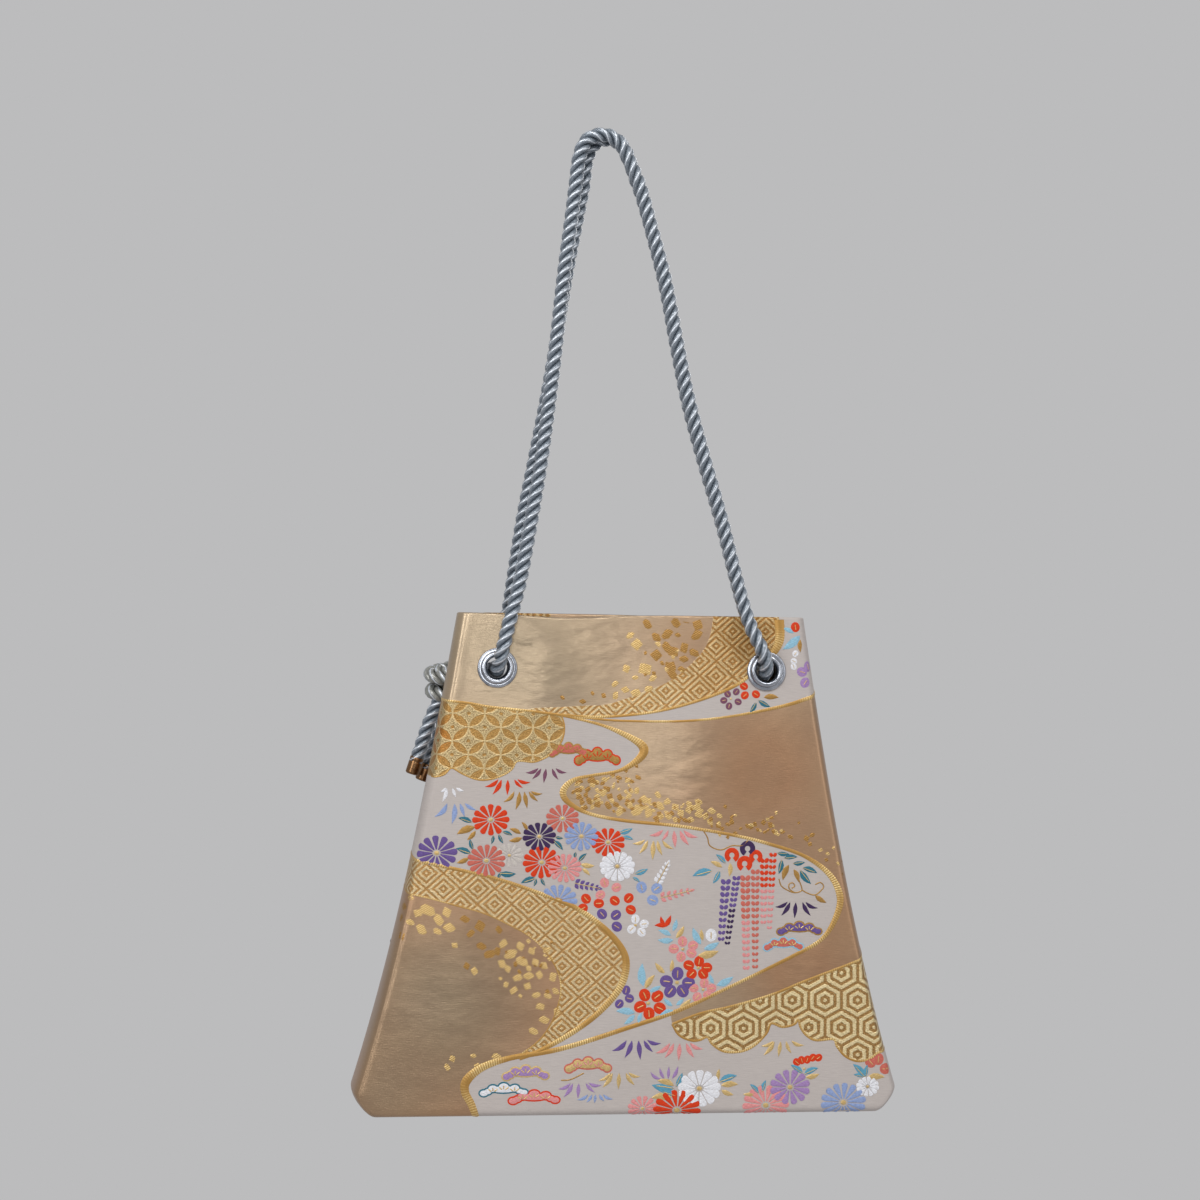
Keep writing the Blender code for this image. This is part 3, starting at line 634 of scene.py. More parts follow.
# What is spread over the cloth from those spots, and its value away from them
SPREADS = (("sheen_and_shade", GROUND_SHEEN_AND_SHADE, 0.25), ("crease", CREASES, 0.05), ("warmth_and_reflection", WARM_GOLD_AND_FOLD_REFLECTION, 0.0))
FIELDS = ("cream", "fret", "shippo", "kikko")

# Area lights: place, what they point at, width and height, watts and colour
BAG_MIDDLE = (BAG_AXIS_X, 0.0, MOUTH_Z - BAG_HEIGHT * 0.4)
WHITE = (1.0, 1.0, 1.0)
LIGHTS = {
    "overhead": ((-0.1, -1.1, 1.15), (0.0, 0.0, -0.15), (3.0, 0.28), 24.0, (1.0, 0.99, 0.97)),
    "window": ((-1.2, -1.3, 0.35), BAG_MIDDLE, (0.45, 1.2), 10.0, WHITE),
    "sheen": ((-0.12, -1.45, -0.06), (-0.02, 0.0, -0.29), (0.3, 0.5), 2.2, WHITE),
    "fill": ((1.5, -1.3, 0.1), BAG_MIDDLE, (1.4, 1.4), 5.0, WHITE),
    "rear": ((0.9, 1.6, 0.6), BAG_MIDDLE, (1.2, 1.2), 6.0, WHITE),
}
# The sky as light and as the camera sees it, and the floor, read as 0 to 255
SKY = (176, 176, 178)
SEEN_SKY = (188, 188, 189)
FLOOR_COLOUR = (196, 195, 196)
FLOOR_SIDES = 96
FLOOR_REACH = 0.95
FLOOR_Z = -0.95


def srgb(*levels):
    """A colour read as 0 to 255, in linear light."""
    shares = [level / 255.0 for level in levels]
    return tuple(share / 12.92 if share <= 0.04045 else ((share + 0.055) / 1.055) ** 2.4 for share in shares)


def smooth_step(low, high, value):
    share = np.clip((value - low) / (high - low), 0.0, 1.0)
    return share * share * (3.0 - 2.0 * share)


# The camera comes first
def camera_axes():
    yaw = CAMERA_AZIMUTH + CAMERA_PAN
    level_share = math.cos(CAMERA_TILT)
    forward = Vector((-math.sin(yaw) * level_share, math.cos(yaw) * level_share, math.sin(CAMERA_TILT)))
    level = Vector((math.cos(yaw), math.sin(yaw), 0.0))
    raised = level.cross(forward)
    right = level * math.cos(CAMERA_ROLL) + raised * math.sin(CAMERA_ROLL)
    upward = raised * math.cos(CAMERA_ROLL) - level * math.sin(CAMERA_ROLL)
    return right, upward, forward


def camera_place():
    return Vector((
        BAG_AXIS_X + CAMERA_DISTANCE * math.sin(CAMERA_AZIMUTH),
        -CAMERA_DISTANCE * math.cos(CAMERA_AZIMUTH),
        MOUTH_Z,
    ))


def add_camera():
    right, upward, forward = camera_axes()
    data = bpy.data.cameras.new("camera")
    data.lens = CAMERA_LENS
    data.sensor_width = SENSOR
    data.clip_start = 0.01
    thing = bpy.data.objects.new("camera", data)
    matrix = Matrix((right, upward, -forward)).transposed().to_4x4()
    matrix.translation = camera_place()
    thing.matrix_world = matrix
    bpy.context.scene.collection.objects.link(thing)
    bpy.context.scene.camera = thing


# The bag's form
def half_width(drop):
    """Half the bag's width at this drop below the mouth: a gentle flare, then the boxed corner turns in."""
    corner_drop = BAG_HEIGHT - CORNER_RISE
    share = np.minimum(drop / corner_drop, 1.0)
    flare = (1.0 - FLARE) * share + FLARE * share**3
    width = MOUTH_HALF_WIDTH + (BASE_HALF_WIDTH - MOUTH_HALF_WIDTH) * flare
    below = np.clip((drop - corner_drop) / CORNER_RISE, 0.0, 1.0)
    return width - CORNER_INSET * below**CORNER_POWER


def half_depth(drop):
    """Half the bag's depth on its flat faces, with the lower front edge rounded under."""
    share = np.clip(drop / BAG_HEIGHT, 0.0, 1.0)
    depth = MOUTH_HALF_DEPTH + (BASE_HALF_DEPTH - MOUTH_HALF_DEPTH) * share
    into_round = np.clip((drop - (BAG_HEIGHT - BASE_ROUND)) / BASE_ROUND, 0.0, 1.0)
    return depth - BASE_ROUND * (1.0 - np.sqrt(1.0 - into_round**2))


def ripple(x, drop, side):
    """Soft waves of the cloth, gone at the folds, at the base and under the eyelets."""
    from_fold = 1.0 - smooth_step(*FOLD_FADE, np.abs(x) / half_width(drop))
    from_base = 1.0 - smooth_step(*BASE_FADE, drop / BAG_HEIGHT)
    from_eyelet = smooth_step(*EYELET_FADE, np.hypot(np.abs(x) - EYELET_SPREAD, drop - EYELET_DROP))
    wide = np.sin(WIDE_WAVE[0] * x + WIDE_WAVE[1] * drop + WIDE_WAVE[2] * side)
    fine = np.sin(FINE_WAVE[0] * x + FINE_WAVE[1] * drop + FINE_WAVE[2])
    return RIPPLE * WAVE_SHARE * (wide + FINE_SHARE * fine) * from_fold * from_base * from_eyelet


def lip_sag(x, drop, side):
    """The mouth's edge hangs a little lower left of its middle on the front, and right of it on the back."""
    away = (x - LIP_SAG_PLACE * side) / LIP_SAG_REACH
    fade = np.clip(1.0 - drop / LIP_SAG_DEPTH, 0.0, 1.0)
    return LIP_DIP * (BACK_SAG_SHARE if side > 0 else 1.0) * fade * np.exp(-(away**2))


def cloth(px, py):
    """The flat front cloth's point, from its axis and below its mouth, at a pixel of the photograph."""
    right, upward, forward = camera_axes()
    eye = camera_place()
    middle = PHOTO_SIZE / 2
    ray = forward + right * ((px - middle) / FOCAL_PIXELS) + upward * ((middle - py) / FOCAL_PIXELS)
    depth = MOUTH_HALF_DEPTH
    for _ in range(SIGHT_ROUNDS):
        point = eye + ray * ((-depth - eye.y) / ray.y)
        drop = MOUTH_Z - point.z
        depth = MOUTH_HALF_DEPTH + (BASE_HALF_DEPTH - MOUTH_HALF_DEPTH) * drop / BAG_HEIGHT
    return point.x - BAG_AXIS_X, drop


def smooth_route(points, steps):
    """A Catmull-Rom curve through the route's points, with a number of steps for each span."""
    points = [Vector(point) for point in points]
    padded = [points[0] * 2.0 - points[1], *points, points[-1] * 2.0 - points[-2]]
    route = []
    for index in range(1, len(padded) - 2):
        before, start, end, after = padded[index - 1 : index + 3]
        for step in range(steps):
            share = step / steps
            linear = (end - before) * share
            square = (2.0 * before - 5.0 * start + 4.0 * end - after) * share**2
            cubic = (3.0 * start - before - 3.0 * end + after) * share**3
            route.append(0.5 * (2.0 * start + linear + square + cubic))
    route.append(points[-1])
    return route


def flat_line(places):
    """A smooth line through places on the flat cloth."""
    return np.array([point[:2] for point in smooth_route([(*place, 0.0) for place in places], SPLINE_STEPS)])


def cloth_line(pixels):
    """A smooth line on the flat cloth through points read off the photograph."""
    return flat_line([cloth(px, py) for px, py in pixels])


def run_along(points):
    """How far along a line each of its points lies."""
    return np.concatenate([[0.0], np.cumsum(np.linalg.norm(np.diff(points, axis=0), axis=1))])


# Materials
class Shader:
    """A material of nodes that ends in one Principled shader."""

    def __init__(self, name, **sockets):
        self.material = bpy.data.materials.new(name)
        self.material.use_nodes = True
        self.nodes = self.material.node_tree.nodes
        self.links = self.material.node_tree.links
        self.principled = self.nodes["Principled BSDF"]
        for socket, value in sockets.items():
            self.principled.inputs[socket.replace("_", " ")].default_value = value

    def feed(self, socket, value):
        if isinstance(value, bpy.types.NodeSocket):
            self.links.new(value, socket)
        elif isinstance(value, tuple) and len(value) == 3 and socket.type == "RGBA":
            socket.default_value = (*value, 1.0)
        elif value is not None:
            socket.default_value = value

    def node(self, kind, output=0, **inputs):
        made = self.nodes.new(kind)
        for name, value in inputs.items():
            self.feed(made.inputs[name.replace("_", " ")], value)
        return made.outputs[output]

    def math(self, operation, first, second=None):
        made = self.nodes.new("ShaderNodeMath")
        made.operation = operation
        for socket, value in zip(made.inputs, (first, second)):
            self.feed(socket, value)
        return made.outputs[0]

    def between(self, kind, values):
        made = self.nodes.new("ShaderNodeMix")
        made.data_type = kind
        for socket, value in zip([socket for socket in made.inputs if socket.enabled], values):
            self.feed(socket, value)
        return next(socket for socket in made.outputs if socket.enabled)

    def mix(self, share, first, second):
        """A colour between two."""
        return self.between("RGBA", (share, first, second))

    def blend(self, share, first, second):
        """A number between two."""
        return self.between("FLOAT", (share, first, second))

    def tinted(self, shade):
        """The colour of each point's thread, times a shade."""
        made = self.nodes.new("ShaderNodeAttribute")
        made.attribute_name = "thread"
        colour = self.mix(1.0, made.outputs["Color"], shade)
        colour.node.blend_type = "MULTIPLY"
        return colour

    def step(self, value, low, high):
        """From 0 to 1 as the value goes from low to high."""
        made = self.nodes.new("ShaderNodeMapRange")
        made.interpolation_type = "SMOOTHSTEP"
        self.feed(made.inputs["Value"], value)
        made.inputs["From Min"].default_value = low
        made.inputs["From Max"].default_value = high
        return made.outputs["Result"]

    def attribute(self, name):
        made = self.nodes.new("ShaderNodeAttribute")
        made.attribute_name = name
        return made.outputs["Fac"]

    def coordinates(self, name):
        """A named layer of coordinates, and its first two numbers."""
        made = self.nodes.new("ShaderNodeUVMap")
        made.uv_map = name
        first, second, _ = self.parts(made.outputs[0])
        return made.outputs[0], first, second

    def parts(self, vector):
        made = self.nodes.new("ShaderNodeSeparateXYZ")
        self.links.new(vector, made.inputs[0])
        return made.outputs

    def scaled(self, vector, scale, turn=0.0):
        rotation = (0.0, 0.0, math.radians(turn))
        return self.node("ShaderNodeMapping", Vector=vector, Rotation=rotation, Scale=scale)

    def from_middle(self, value, shift=CELL_SHIFT):
        """How far a number lies from the middle of its cell, where cells are 1 long."""
        cell = self.math("FRACT", self.math("ADD", value, shift))
        return self.math("ABSOLUTE", self.math("SUBTRACT", cell, 0.5))

    def cells_from(self, value, start, length):
        return self.math("DIVIDE", self.math("SUBTRACT", value, start), length)

    def wave(self, value):
        """From 0 to 1 and back for each turn of 2 pi."""
        return self.math("ADD", self.math("MULTIPLY", self.math("SINE", value), 0.5), 0.5)

    def noise(self, vector, scale, detail=2.0, roughness=0.5):
        return self.node("ShaderNodeTexNoise", Vector=vector, Scale=scale, Detail=detail, Roughness=roughness)

    def bump(self, height, distance, strength=1.0, normal=None):
        return self.node("ShaderNodeBump", Height=height, Distance=distance, Strength=strength, Normal=normal)

    def finish(self, **sockets):
        for socket, value in sockets.items():
            self.feed(self.principled.inputs[socket.replace("_", " ")], value)
        return self.material


def lozenge_fret(shader, across, down):
    """Nested lozenges: a height from 0 in the grooves to 1 on the gold ridges."""
    first = shader.math("DIVIDE", across, FRET_WIDTH)
    second = shader.math("DIVIDE", down, FRET_HEIGHT)
    largest = None
    for operation in ("ADD", "SUBTRACT"):
        away = shader.from_middle(shader.math(operation, first, second))
        largest = away if largest is None else shader.math("MAXIMUM", largest, away)
    rings = shader.math("COSINE", shader.math("MULTIPLY", largest, 2.0 * math.pi * FRET_RINGS))
    return shader.step(rings, -0.5, 0.5)


def seven_treasures(shader, across, down):
    """Circles that overlap: 1 in the lenses and in the dots between them, then 1 on the lenses' rims."""
    start = cloth(*SHIPPO_PIXEL)
    x = shader.cells_from(across, start[0], SHIPPO_RADIUS[0])
    y = shader.cells_from(down, start[1], SHIPPO_RADIUS[1])
    away = [
        shader.from_middle(shader.math("MULTIPLY", shader.math(operation, x, y), 0.5))
        for operation in ("ADD", "SUBTRACT")
    ]
    lenses = None
    for first, second in (away, away[::-1]):
        far = shader.math("ADD", first, 0.5)
        near = shader.math("SUBTRACT", 0.5, second)
        squares = [shader.math("MULTIPLY", part, part) for part in (far, near)]
        reach = shader.math("SQRT", shader.math("ADD", *squares))
        lenses = reach if lenses is None else shader.math("MINIMUM", lenses, reach)
    squares = [shader.math("POWER", shader.math("SUBTRACT", 0.5, part), 2.0) for part in away]
    corner = shader.math("SQRT", shader.math("ADD", *squares))
    dot = shader.step(corner, 0.10, 0.07)
    inner = shader.math("MAXIMUM", shader.step(lenses, math.sqrt(0.5) - 0.015, math.sqrt(0.5) - 0.05), dot)
    rim = shader.step(lenses, math.sqrt(0.5) + 0.035, math.sqrt(0.5))
    return inner, shader.math("SUBTRACT", rim, inner)


def tortoiseshell(shader, across, down):
    """Hexagons, one in another: the distance from the nearest centre, 1 at a hexagon's sides."""
    nearest, start = None, cloth(*KIKKO_PIXEL)
    for shift in (CELL_SHIFT, CELL_SHIFT + 0.5):
        x = shader.from_middle(shader.cells_from(across, start[0], KIKKO_PITCH), shift)
        y = shader.from_middle(shader.cells_from(down, start[1], KIKKO_ROWS), shift)
        slant = shader.math("ADD", x, shader.math("MULTIPLY", y, 3.0))
        size = shader.math("MAXIMUM", shader.math("MULTIPLY", x, 2.0), slant)
        nearest = size if nearest is None else shader.math("MINIMUM", nearest, size)
    return nearest


def brocade_material():
    shader = Shader("gold_brocade", Roughness=0.4, Metallic=0.5, IOR=1.5)
    uv, across, down = shader.coordinates("cloth")
    cream, fret, shippo, kikko = [
        shader.step(shader.attribute(field), -FIELD_BLUR, FIELD_BLUR) for field in FIELDS
    ]
    sheen_and_shade, warmth_and_reflection, towards_fold = [shader.attribute(name) for name in ("sheen_and_shade", "warmth_and_reflection", "fold")]

    # Gold satin: long floats of thread, streaked along the cloth
    streak = shader.scaled(uv, (240.0, 2600.0, 1.0))
    threads = shader.noise(streak, 1.0, 3.0, 0.6)
    cloud = shader.noise(uv, 28.0, 3.0, 0.55)
    # Painted sheen and shade in the satin's colour: the spread value goes from pale gold at 0, through brown
    # at 1, to bronze at 2
    pale = shader.mix(cloud, srgb(168, 151, 128), srgb(188, 170, 142))
    brown = shader.mix(cloud, srgb(168, 128, 98), srgb(182, 144, 110))
    bronze = shader.mix(cloud, srgb(148, 128, 106), srgb(164, 144, 116))
    satin = shader.mix(shader.math("SUBTRACT", sheen_and_shade, 1.0), shader.mix(sheen_and_shade, pale, brown), bronze)
    satin = shader.mix(shader.step(threads, 0.35, 0.70), shader.mix(0.14, satin, srgb(96, 70, 48)), satin)

    # Gold thread, woven in short slanting floats
    slant = shader.scaled(uv, (820.0, 2400.0, 1.0), 38.0)
    floats = shader.step(shader.noise(slant, 1.0, 2.0, 0.6), 0.28, 0.72)
    bright = shader.mix(floats, srgb(180, 152, 108), srgb(218, 200, 160))
    dark = shader.mix(floats, srgb(146, 106, 58), srgb(188, 146, 88))
    wander = shader.math("MULTIPLY", shader.math("SUBTRACT", shader.noise(uv, 700.0, 2.0, 0.5), 0.5), 0.0011)
    across, down = shader.math("ADD", across, wander), shader.math("SUBTRACT", down, wander)
    ridges = lozenge_fret(shader, across, down)
    warm_thread = shader.mix(floats, srgb(168, 132, 80), srgb(206, 176, 126))
    warm_colour = shader.mix(ridges, srgb(146, 102, 48), warm_thread)
    fret_colour = shader.mix(warmth_and_reflection, shader.mix(ridges, dark, bright), warm_colour)
    petals, rims = seven_treasures(shader, across, down)
    sparkle = shader.step(shader.noise(uv, 1500.0, 2.0, 0.6), 0.36, 0.66)
    between = shader.mix(sparkle, srgb(140, 116, 76), srgb(202, 182, 138))
    lens = shader.mix(floats, srgb(146, 110, 56), srgb(178, 140, 82))
    # Orange lenses: warmer thread, and on the left side fold a painted grazing reflection
    lens = shader.mix(warmth_and_reflection, lens, srgb(166, 104, 34))
    shippo_colour = shader.mix(rims, shader.mix(petals, between, lens), srgb(196, 172, 126))
    hexagon = tortoiseshell(shader, across, down)
    ring = shader.math("COSINE", shader.math("MULTIPLY", hexagon, 2.0 * math.pi * KIKKO_RINGS))
    shells = shader.step(ring, -0.55, 0.45)
    kikko_bright = shader.mix(floats, srgb(196, 172, 124), srgb(238, 222, 178))
    kikko_dark = shader.mix(sparkle, srgb(132, 98, 54), srgb(178, 140, 86))
    kikko_colour = shader.mix(shells, kikko_dark, kikko_bright)

    # Cream ground, in a fine plain weave
    grain = shader.noise(streak, 0.7, 2.0, 0.5)
    cream_colour = shader.mix(grain, srgb(163, 155, 151), srgb(181, 173, 168))

    colour = shader.mix(cream, satin, cream_colour)
    for share, part in ((fret, fret_colour), (shippo, shippo_colour), (kikko, kikko_colour)):
        colour = shader.mix(share, colour, part)

    # Relief: the thread, the creases and waves of the cloth, and its rounding towards the folds
    height = shader.math("MULTIPLY", threads, 0.6)
    for share, part in ((fret, ridges), (shippo, shader.math("SUBTRACT", 1.0, petals)), (kikko, shells)):
        thread = shader.math("ADD", shader.math("MULTIPLY", part, 0.9), shader.math("MULTIPLY", sparkle, 0.7))
        height = shader.blend(share, height, thread)
    folds = shader.scaled(uv, (42.0, 84.0, 1.0), -18.0)
    crumple = shader.math("MULTIPLY", shader.noise(folds, 1.0, 2.5, 0.5), shader.attribute("crease"))
    waves = shader.math("MULTIPLY", shader.noise(uv, 38.0, 2.0, 0.45), 0.35)
    rounding = shader.bump(shader.math("MULTIPLY", towards_fold, towards_fold), -FOLD_FALL)
    soft = shader.bump(shader.math("ADD", crumple, waves), CREASE_DEPTH, 1.0, rounding)
    normal = shader.bump(height, 0.00020, 0.8, soft)
    metallic = shader.blend(cream, 0.7, 0.0)
    roughness = shader.blend(cream, shader.blend(cloud, 0.26, 0.36), 0.72)
    return shader.finish(Base_Color=colour, Normal=normal, Metallic=metallic, Roughness=roughness)


def silk_material():
    """Motifs of silk and of gold thread, in short floats across the cloth."""
    shader = Shader("silk_motifs", IOR=1.5, Specular_IOR_Level=0.25)
    uv, _, _ = shader.coordinates("cloth")
    gold = shader.attribute("gold")
    floats = shader.noise(shader.scaled(uv, (700.0, 5200.0, 1.0)), 1.0, 2.0, 0.6)
    patch = shader.noise(uv, 420.0, 2.0, 0.5)
    shade = shader.mix(shader.step(floats, 0.25, 0.7), srgb(196, 190, 186), WHITE)
    return shader.finish(
        Base_Color=shader.tinted(shade), Metallic=shader.math("MULTIPLY", gold, 0.6),
        Roughness=shader.blend(gold, 0.58, shader.blend(patch, 0.26, 0.44)),
        Normal=shader.bump(floats, 0.00012, 0.7),
    )


def gold_cord_material():
    """Gold thread laid along the borders: flat in some places, ridged in others, where the ridges are painted
    bright as a painted highlight and the troughs of the twist painted darker as shade.
    """
    shader = Shader("gold_cord", IOR=1.5)
    uv, across, along = shader.coordinates("stitch")
    turns = shader.math("MULTIPLY", along, 2.0 * math.pi / CORD_TWIST)
    twist = shader.wave(shader.math("ADD", turns, shader.math("MULTIPLY", across, 1.2)))
    grain = shader.noise(uv, 3.0, 3.0, 0.6)
    # Where the cord is ridged: real relief there, painted bright as a painted highlight
    ridged_and_lit = shader.step(shader.noise(uv, 0.035, 1.0, 0.5), 0.42, 0.62)
    flat = shader.mix(grain, srgb(158, 116, 54), srgb(190, 148, 82))
    # Painted highlight: pale gold on the ridges; painted shade: darker gold in the troughs of the twist
    lit_ridges = shader.mix(shader.step(grain, 0.3, 0.7), srgb(196, 158, 92), srgb(238, 218, 160))
    lit_ridges = shader.mix(shader.step(twist, 0.0, 0.6), srgb(168, 126, 66), lit_ridges)
    ridge = shader.math("MULTIPLY", twist, shader.blend(ridged_and_lit, 0.3, 1.0))
    height = shader.math("ADD", ridge, shader.math("MULTIPLY", grain, 0.5))
    return shader.finish(
        Base_Color=shader.mix(ridged_and_lit, flat, lit_ridges), Roughness=shader.blend(grain, 0.42, 0.28), Metallic=0.6,
        Normal=shader.bump(height, 0.00016, 0.6),
    )


def gold_leaf_material():
    """Scraps of gold woven in slanting floats."""
    shader = Shader("gold_leaf", IOR=1.5, Metallic=0.65)
    uv, across, down = shader.coordinates("cloth")
    slope = shader.math("ADD", shader.math("MULTIPLY", across, 0.6), down)
    hatch = shader.wave(shader.math("MULTIPLY", slope, 2.0 * math.pi / LEAF_HATCH))
    grain = shader.noise(uv, 900.0, 2.0, 0.6)
    light = shader.math("MULTIPLY", shader.step(hatch, 0.15, 0.75), shader.step(grain, 0.2, 0.6))
    return shader.finish(
        Base_Color=shader.tinted(shader.mix(light, srgb(204, 190, 168), WHITE)),
        Roughness=shader.blend(grain, 0.40, 0.24),
        Normal=shader.bump(shader.math("ADD", hatch, grain), 0.00018, 0.7),
    )


def lining_material():
    shader = Shader("lining_cloth", Roughness=0.75, Sheen_Weight=0.15)
    uv, _, _ = shader.coordinates("cloth")
    weave = shader.noise(shader.scaled(uv, (2400.0, 900.0, 1.0)), 1.0, 2.0)
    colour = shader.mix(weave, srgb(186, 158, 122), srgb(208, 182, 146))
    return shader.finish(Base_Color=colour, Normal=shader.bump(weave, 0.0001, 0.6))


def rope_material(name, groove_shade_and_dark_thread, filament):
    """Lustrous rayon: the filaments run along each strand, with one pale line on its outer side, a painted
    highlight, and its sides towards the rope's middle, where the strands meet, painted darker as shade in the
    grooves.
    """
    shader = Shader(name, Metallic=0.3, IOR=1.5, Coat_Weight=0.5, Coat_Roughness=0.16)
    uv, around, _ = shader.coordinates("strand")
    outward = shader.from_middle(around, 0.0)
    filaments = shader.noise(shader.scaled(uv, (26.0, 0.9, 1.0)), 1.0, 3.0, 0.65)
    patches = shader.noise(shader.scaled(uv, (2.0, 0.25, 1.0)), 1.0, 2.0)
    colour = shader.mix(shader.step(filaments, 0.30, 0.72), groove_shade_and_dark_thread, filament)
    colour = shader.mix(shader.math("MULTIPLY", patches, 0.35), colour, srgb(128, 134, 138))
    # Painted shade: the strand's sides towards the rope's middle are mixed towards the dark colour
    colour = shader.mix(shader.step(outward, 0.22, 0.36), shader.mix(0.45, colour, groove_shade_and_dark_thread), colour)
    # Painted highlight: a pale line along each strand's crest
    colour = shader.mix(shader.step(outward, 0.435, 0.475), colour, srgb(204, 210, 218))
    roughness = shader.blend(filaments, 0.36, 0.24)
    return shader.finish(Base_Color=colour, Normal=shader.bump(filaments, 0.00014, 0.7), Roughness=roughness)


def metal_material(name, light, dark, roughness, scratch):
    """Plated metal with fine turning marks and a little tarnish."""
    shader = Shader(name, Metallic=1.0, Roughness=roughness)
    place = shader.node("ShaderNodeTexCoord", 3)
    marks = shader.noise(shader.scaled(place, (1.0, 1.0, 9.0)), scratch, 3.0, 0.6)
    tarnish = shader.noise(place, 160.0, 3.0, 0.6)
    colour = shader.mix(shader.step(tarnish, 0.35, 0.75), light, dark)
    rough = shader.blend(marks, roughness * 0.8, roughness * 1.3)
    return shader.finish(Base_Color=colour, Roughness=rough, Normal=shader.bump(marks, 0.00002, 0.2))


# Sheets of cloth
def new_piece(name, points, faces, material, replaced=()):
    mesh = bpy.data.meshes.new(name)
    mesh.from_pydata([tuple(point) for point in points], [], faces)
    mesh.update()
    mesh.shade_smooth()
    thing = bpy.data.objects.new(name, mesh)
    bpy.context.scene.collection.objects.link(thing)
    mesh.materials.append(material)
    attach(thing, "root")
    if replaced:
        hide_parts(*replaced)
    return thing


def outline_distance(points, outline):
    """How far inside a closed outline each point lies, and below zero outside it."""
    start = np.asarray(outline)
    span = np.roll(start, -1, axis=0) - start
    nearest = np.full(len(points), 1.0)
    inside = np.zeros(len(points), bool)
    for corner, side in zip(start, span):
        length = side @ side
        if length < 1e-14:
            continue
        away = points - corner
        share = np.clip(away @ side / length, 0.0, 1.0)
        nearest = np.minimum(nearest, np.linalg.norm(away - share[:, None] * side, axis=1))
        crosses = (corner[1] > points[:, 1]) != (corner[1] + side[1] > points[:, 1])
        if abs(side[1]) > 1e-12:
            inside ^= crosses & (points[:, 0] < corner[0] + (points[:, 1] - corner[1]) * side[0] / side[1])
    return np.where(inside, nearest, -nearest)


def brocade_fields():
    """The outlines of the fields of pattern, on the flat cloth."""
    stream = cloth_line(STREAM_LINE)
    fret_outer = cloth_line(LOWER_FRET_OUTER)
    shippo_edge = cloth_line(SHIPPO_LOWER_EDGE)
    kikko_edge = cloth_line(KIKKO_LOWER_EDGE)
    kikko_top = cloth_line(KIKKO_TOP)
    upper = cloth_line(UPPER_ROPE_LINE)
    wedge = cloth_line(WEDGE_LINE)
    tail = cloth_line(((519, 1059), (511, 1058)))
    far_left = cloth_line(((300, 776), (300, 850)))
    top_right = cloth_line(((900, 596), (779, 596)))
    base_right = cloth_line(((960, 1050), (960, 1180), (480, 1180)))
    cut = int(np.argmin(np.linalg.norm(stream - tail[-1], axis=1)))
    left_end = int(np.argmin(np.linalg.norm(stream - kikko_top[0], axis=1)))
    main = np.concatenate([stream[6 : cut + 1], fret_outer[::-1], far_left[::-1], shippo_edge[::-1]])
    top_wedge = np.concatenate([wedge, upper[: int(len(upper) * 0.62)][::-1], top_right[::-1]])
    bottom = np.concatenate([kikko_edge, base_right, stream[left_end:][::-1]])
    circles_left = cloth_line(((300, 776), (300, 690)))
    return {
        "cream": [main, top_wedge, bottom],
        "fret": [cloth_line(UPPER_FRET), np.concatenate([fret_outer, cloth_line(LOWER_FRET_INNER)[::-1]])],
        "shippo": [np.concatenate([cloth_line(SHIPPO_TOP), shippo_edge, circles_left])],
        "kikko": [np.concatenate([kikko_top, cloth_line(((960, 943), (960, 1050))), kikko_edge[::-1]])],
    }


def panel_row(drop, side, inset, lift, down):
    """One level of a cloth panel: its points, and the same points on the flat cloth."""
    width = float(half_width(drop)) - inset
    depth = float(half_depth(drop)) - inset
    reach = SIDE_FOLD_REACH - inset
    flat = width - reach
    face_x = np.linspace(-flat, flat, FACE_STEPS + 1)
    face_y = depth + ripple(face_x, drop, side)
    angles = np.array([math.pi / 2.0 * step / SIDE_STEPS for step in range(1, SIDE_STEPS + 1)])
    fold_x = flat + reach * np.sin(angles)
    fold_y = HALF_SEAM_GAP + (depth - HALF_SEAM_GAP) * np.cos(angles)
    x = np.concatenate([-fold_x[::-1], face_x, fold_x])
    y = np.concatenate([fold_y[::-1], face_y, fold_y])
    z = MOUTH_Z - drop + lift - lip_sag(x, drop, side)
    strip = np.cumsum(np.hypot(np.diff(fold_x, prepend=flat), np.diff(fold_y, prepend=depth)))
    across = np.concatenate([-(flat + strip[::-1]), face_x, flat + strip])
    return np.column_stack([BAG_AXIS_X + x, side * y, z]), np.column_stack([across, np.full(len(x), down)])


def panel_sheet(rows, side):
    """Points, faces and flat coordinates of a sewn panel, with half the base in to the seam under the bag."""
    columns = FACE_STEPS + 2 * SIDE_STEPS + 1
    points = [point for row, _ in rows for point in row]
    flat = [place for _, row in rows for place in row]
    faces = []
    for level in range(len(rows) - 1):
        for column in range(columns - 1):
            low = level * columns + column
            faces.append((low, low + 1, low + columns + 1, low + columns))
    edge_row = list(range(SIDE_STEPS, SIDE_STEPS + FACE_STEPS + 1))
    for step in range(1, SIDE_STEPS + 1):
        left = rows[0][0][SIDE_STEPS - step]
        right = rows[0][0][SIDE_STEPS + FACE_STEPS + step]
        inward = abs(rows[0][0][SIDE_STEPS][1]) - abs(left[1])
        next_row = [SIDE_STEPS - step]
        for column in range(1, FACE_STEPS):
            next_row.append(len(points))
            points.append(left + (right - left) * column / FACE_STEPS)
            flat.append((points[-1][0] - BAG_AXIS_X, rows[0][1][0][1] + inward))
        next_row.append(SIDE_STEPS + FACE_STEPS + step)
        for column in range(FACE_STEPS):
            faces.append((edge_row[column + 1], edge_row[column], next_row[column], next_row[column + 1]))
        edge_row = next_row
    if side > 0:
        faces = [tuple(reversed(face)) for face in faces]
    return np.array(points), faces, np.array(flat)


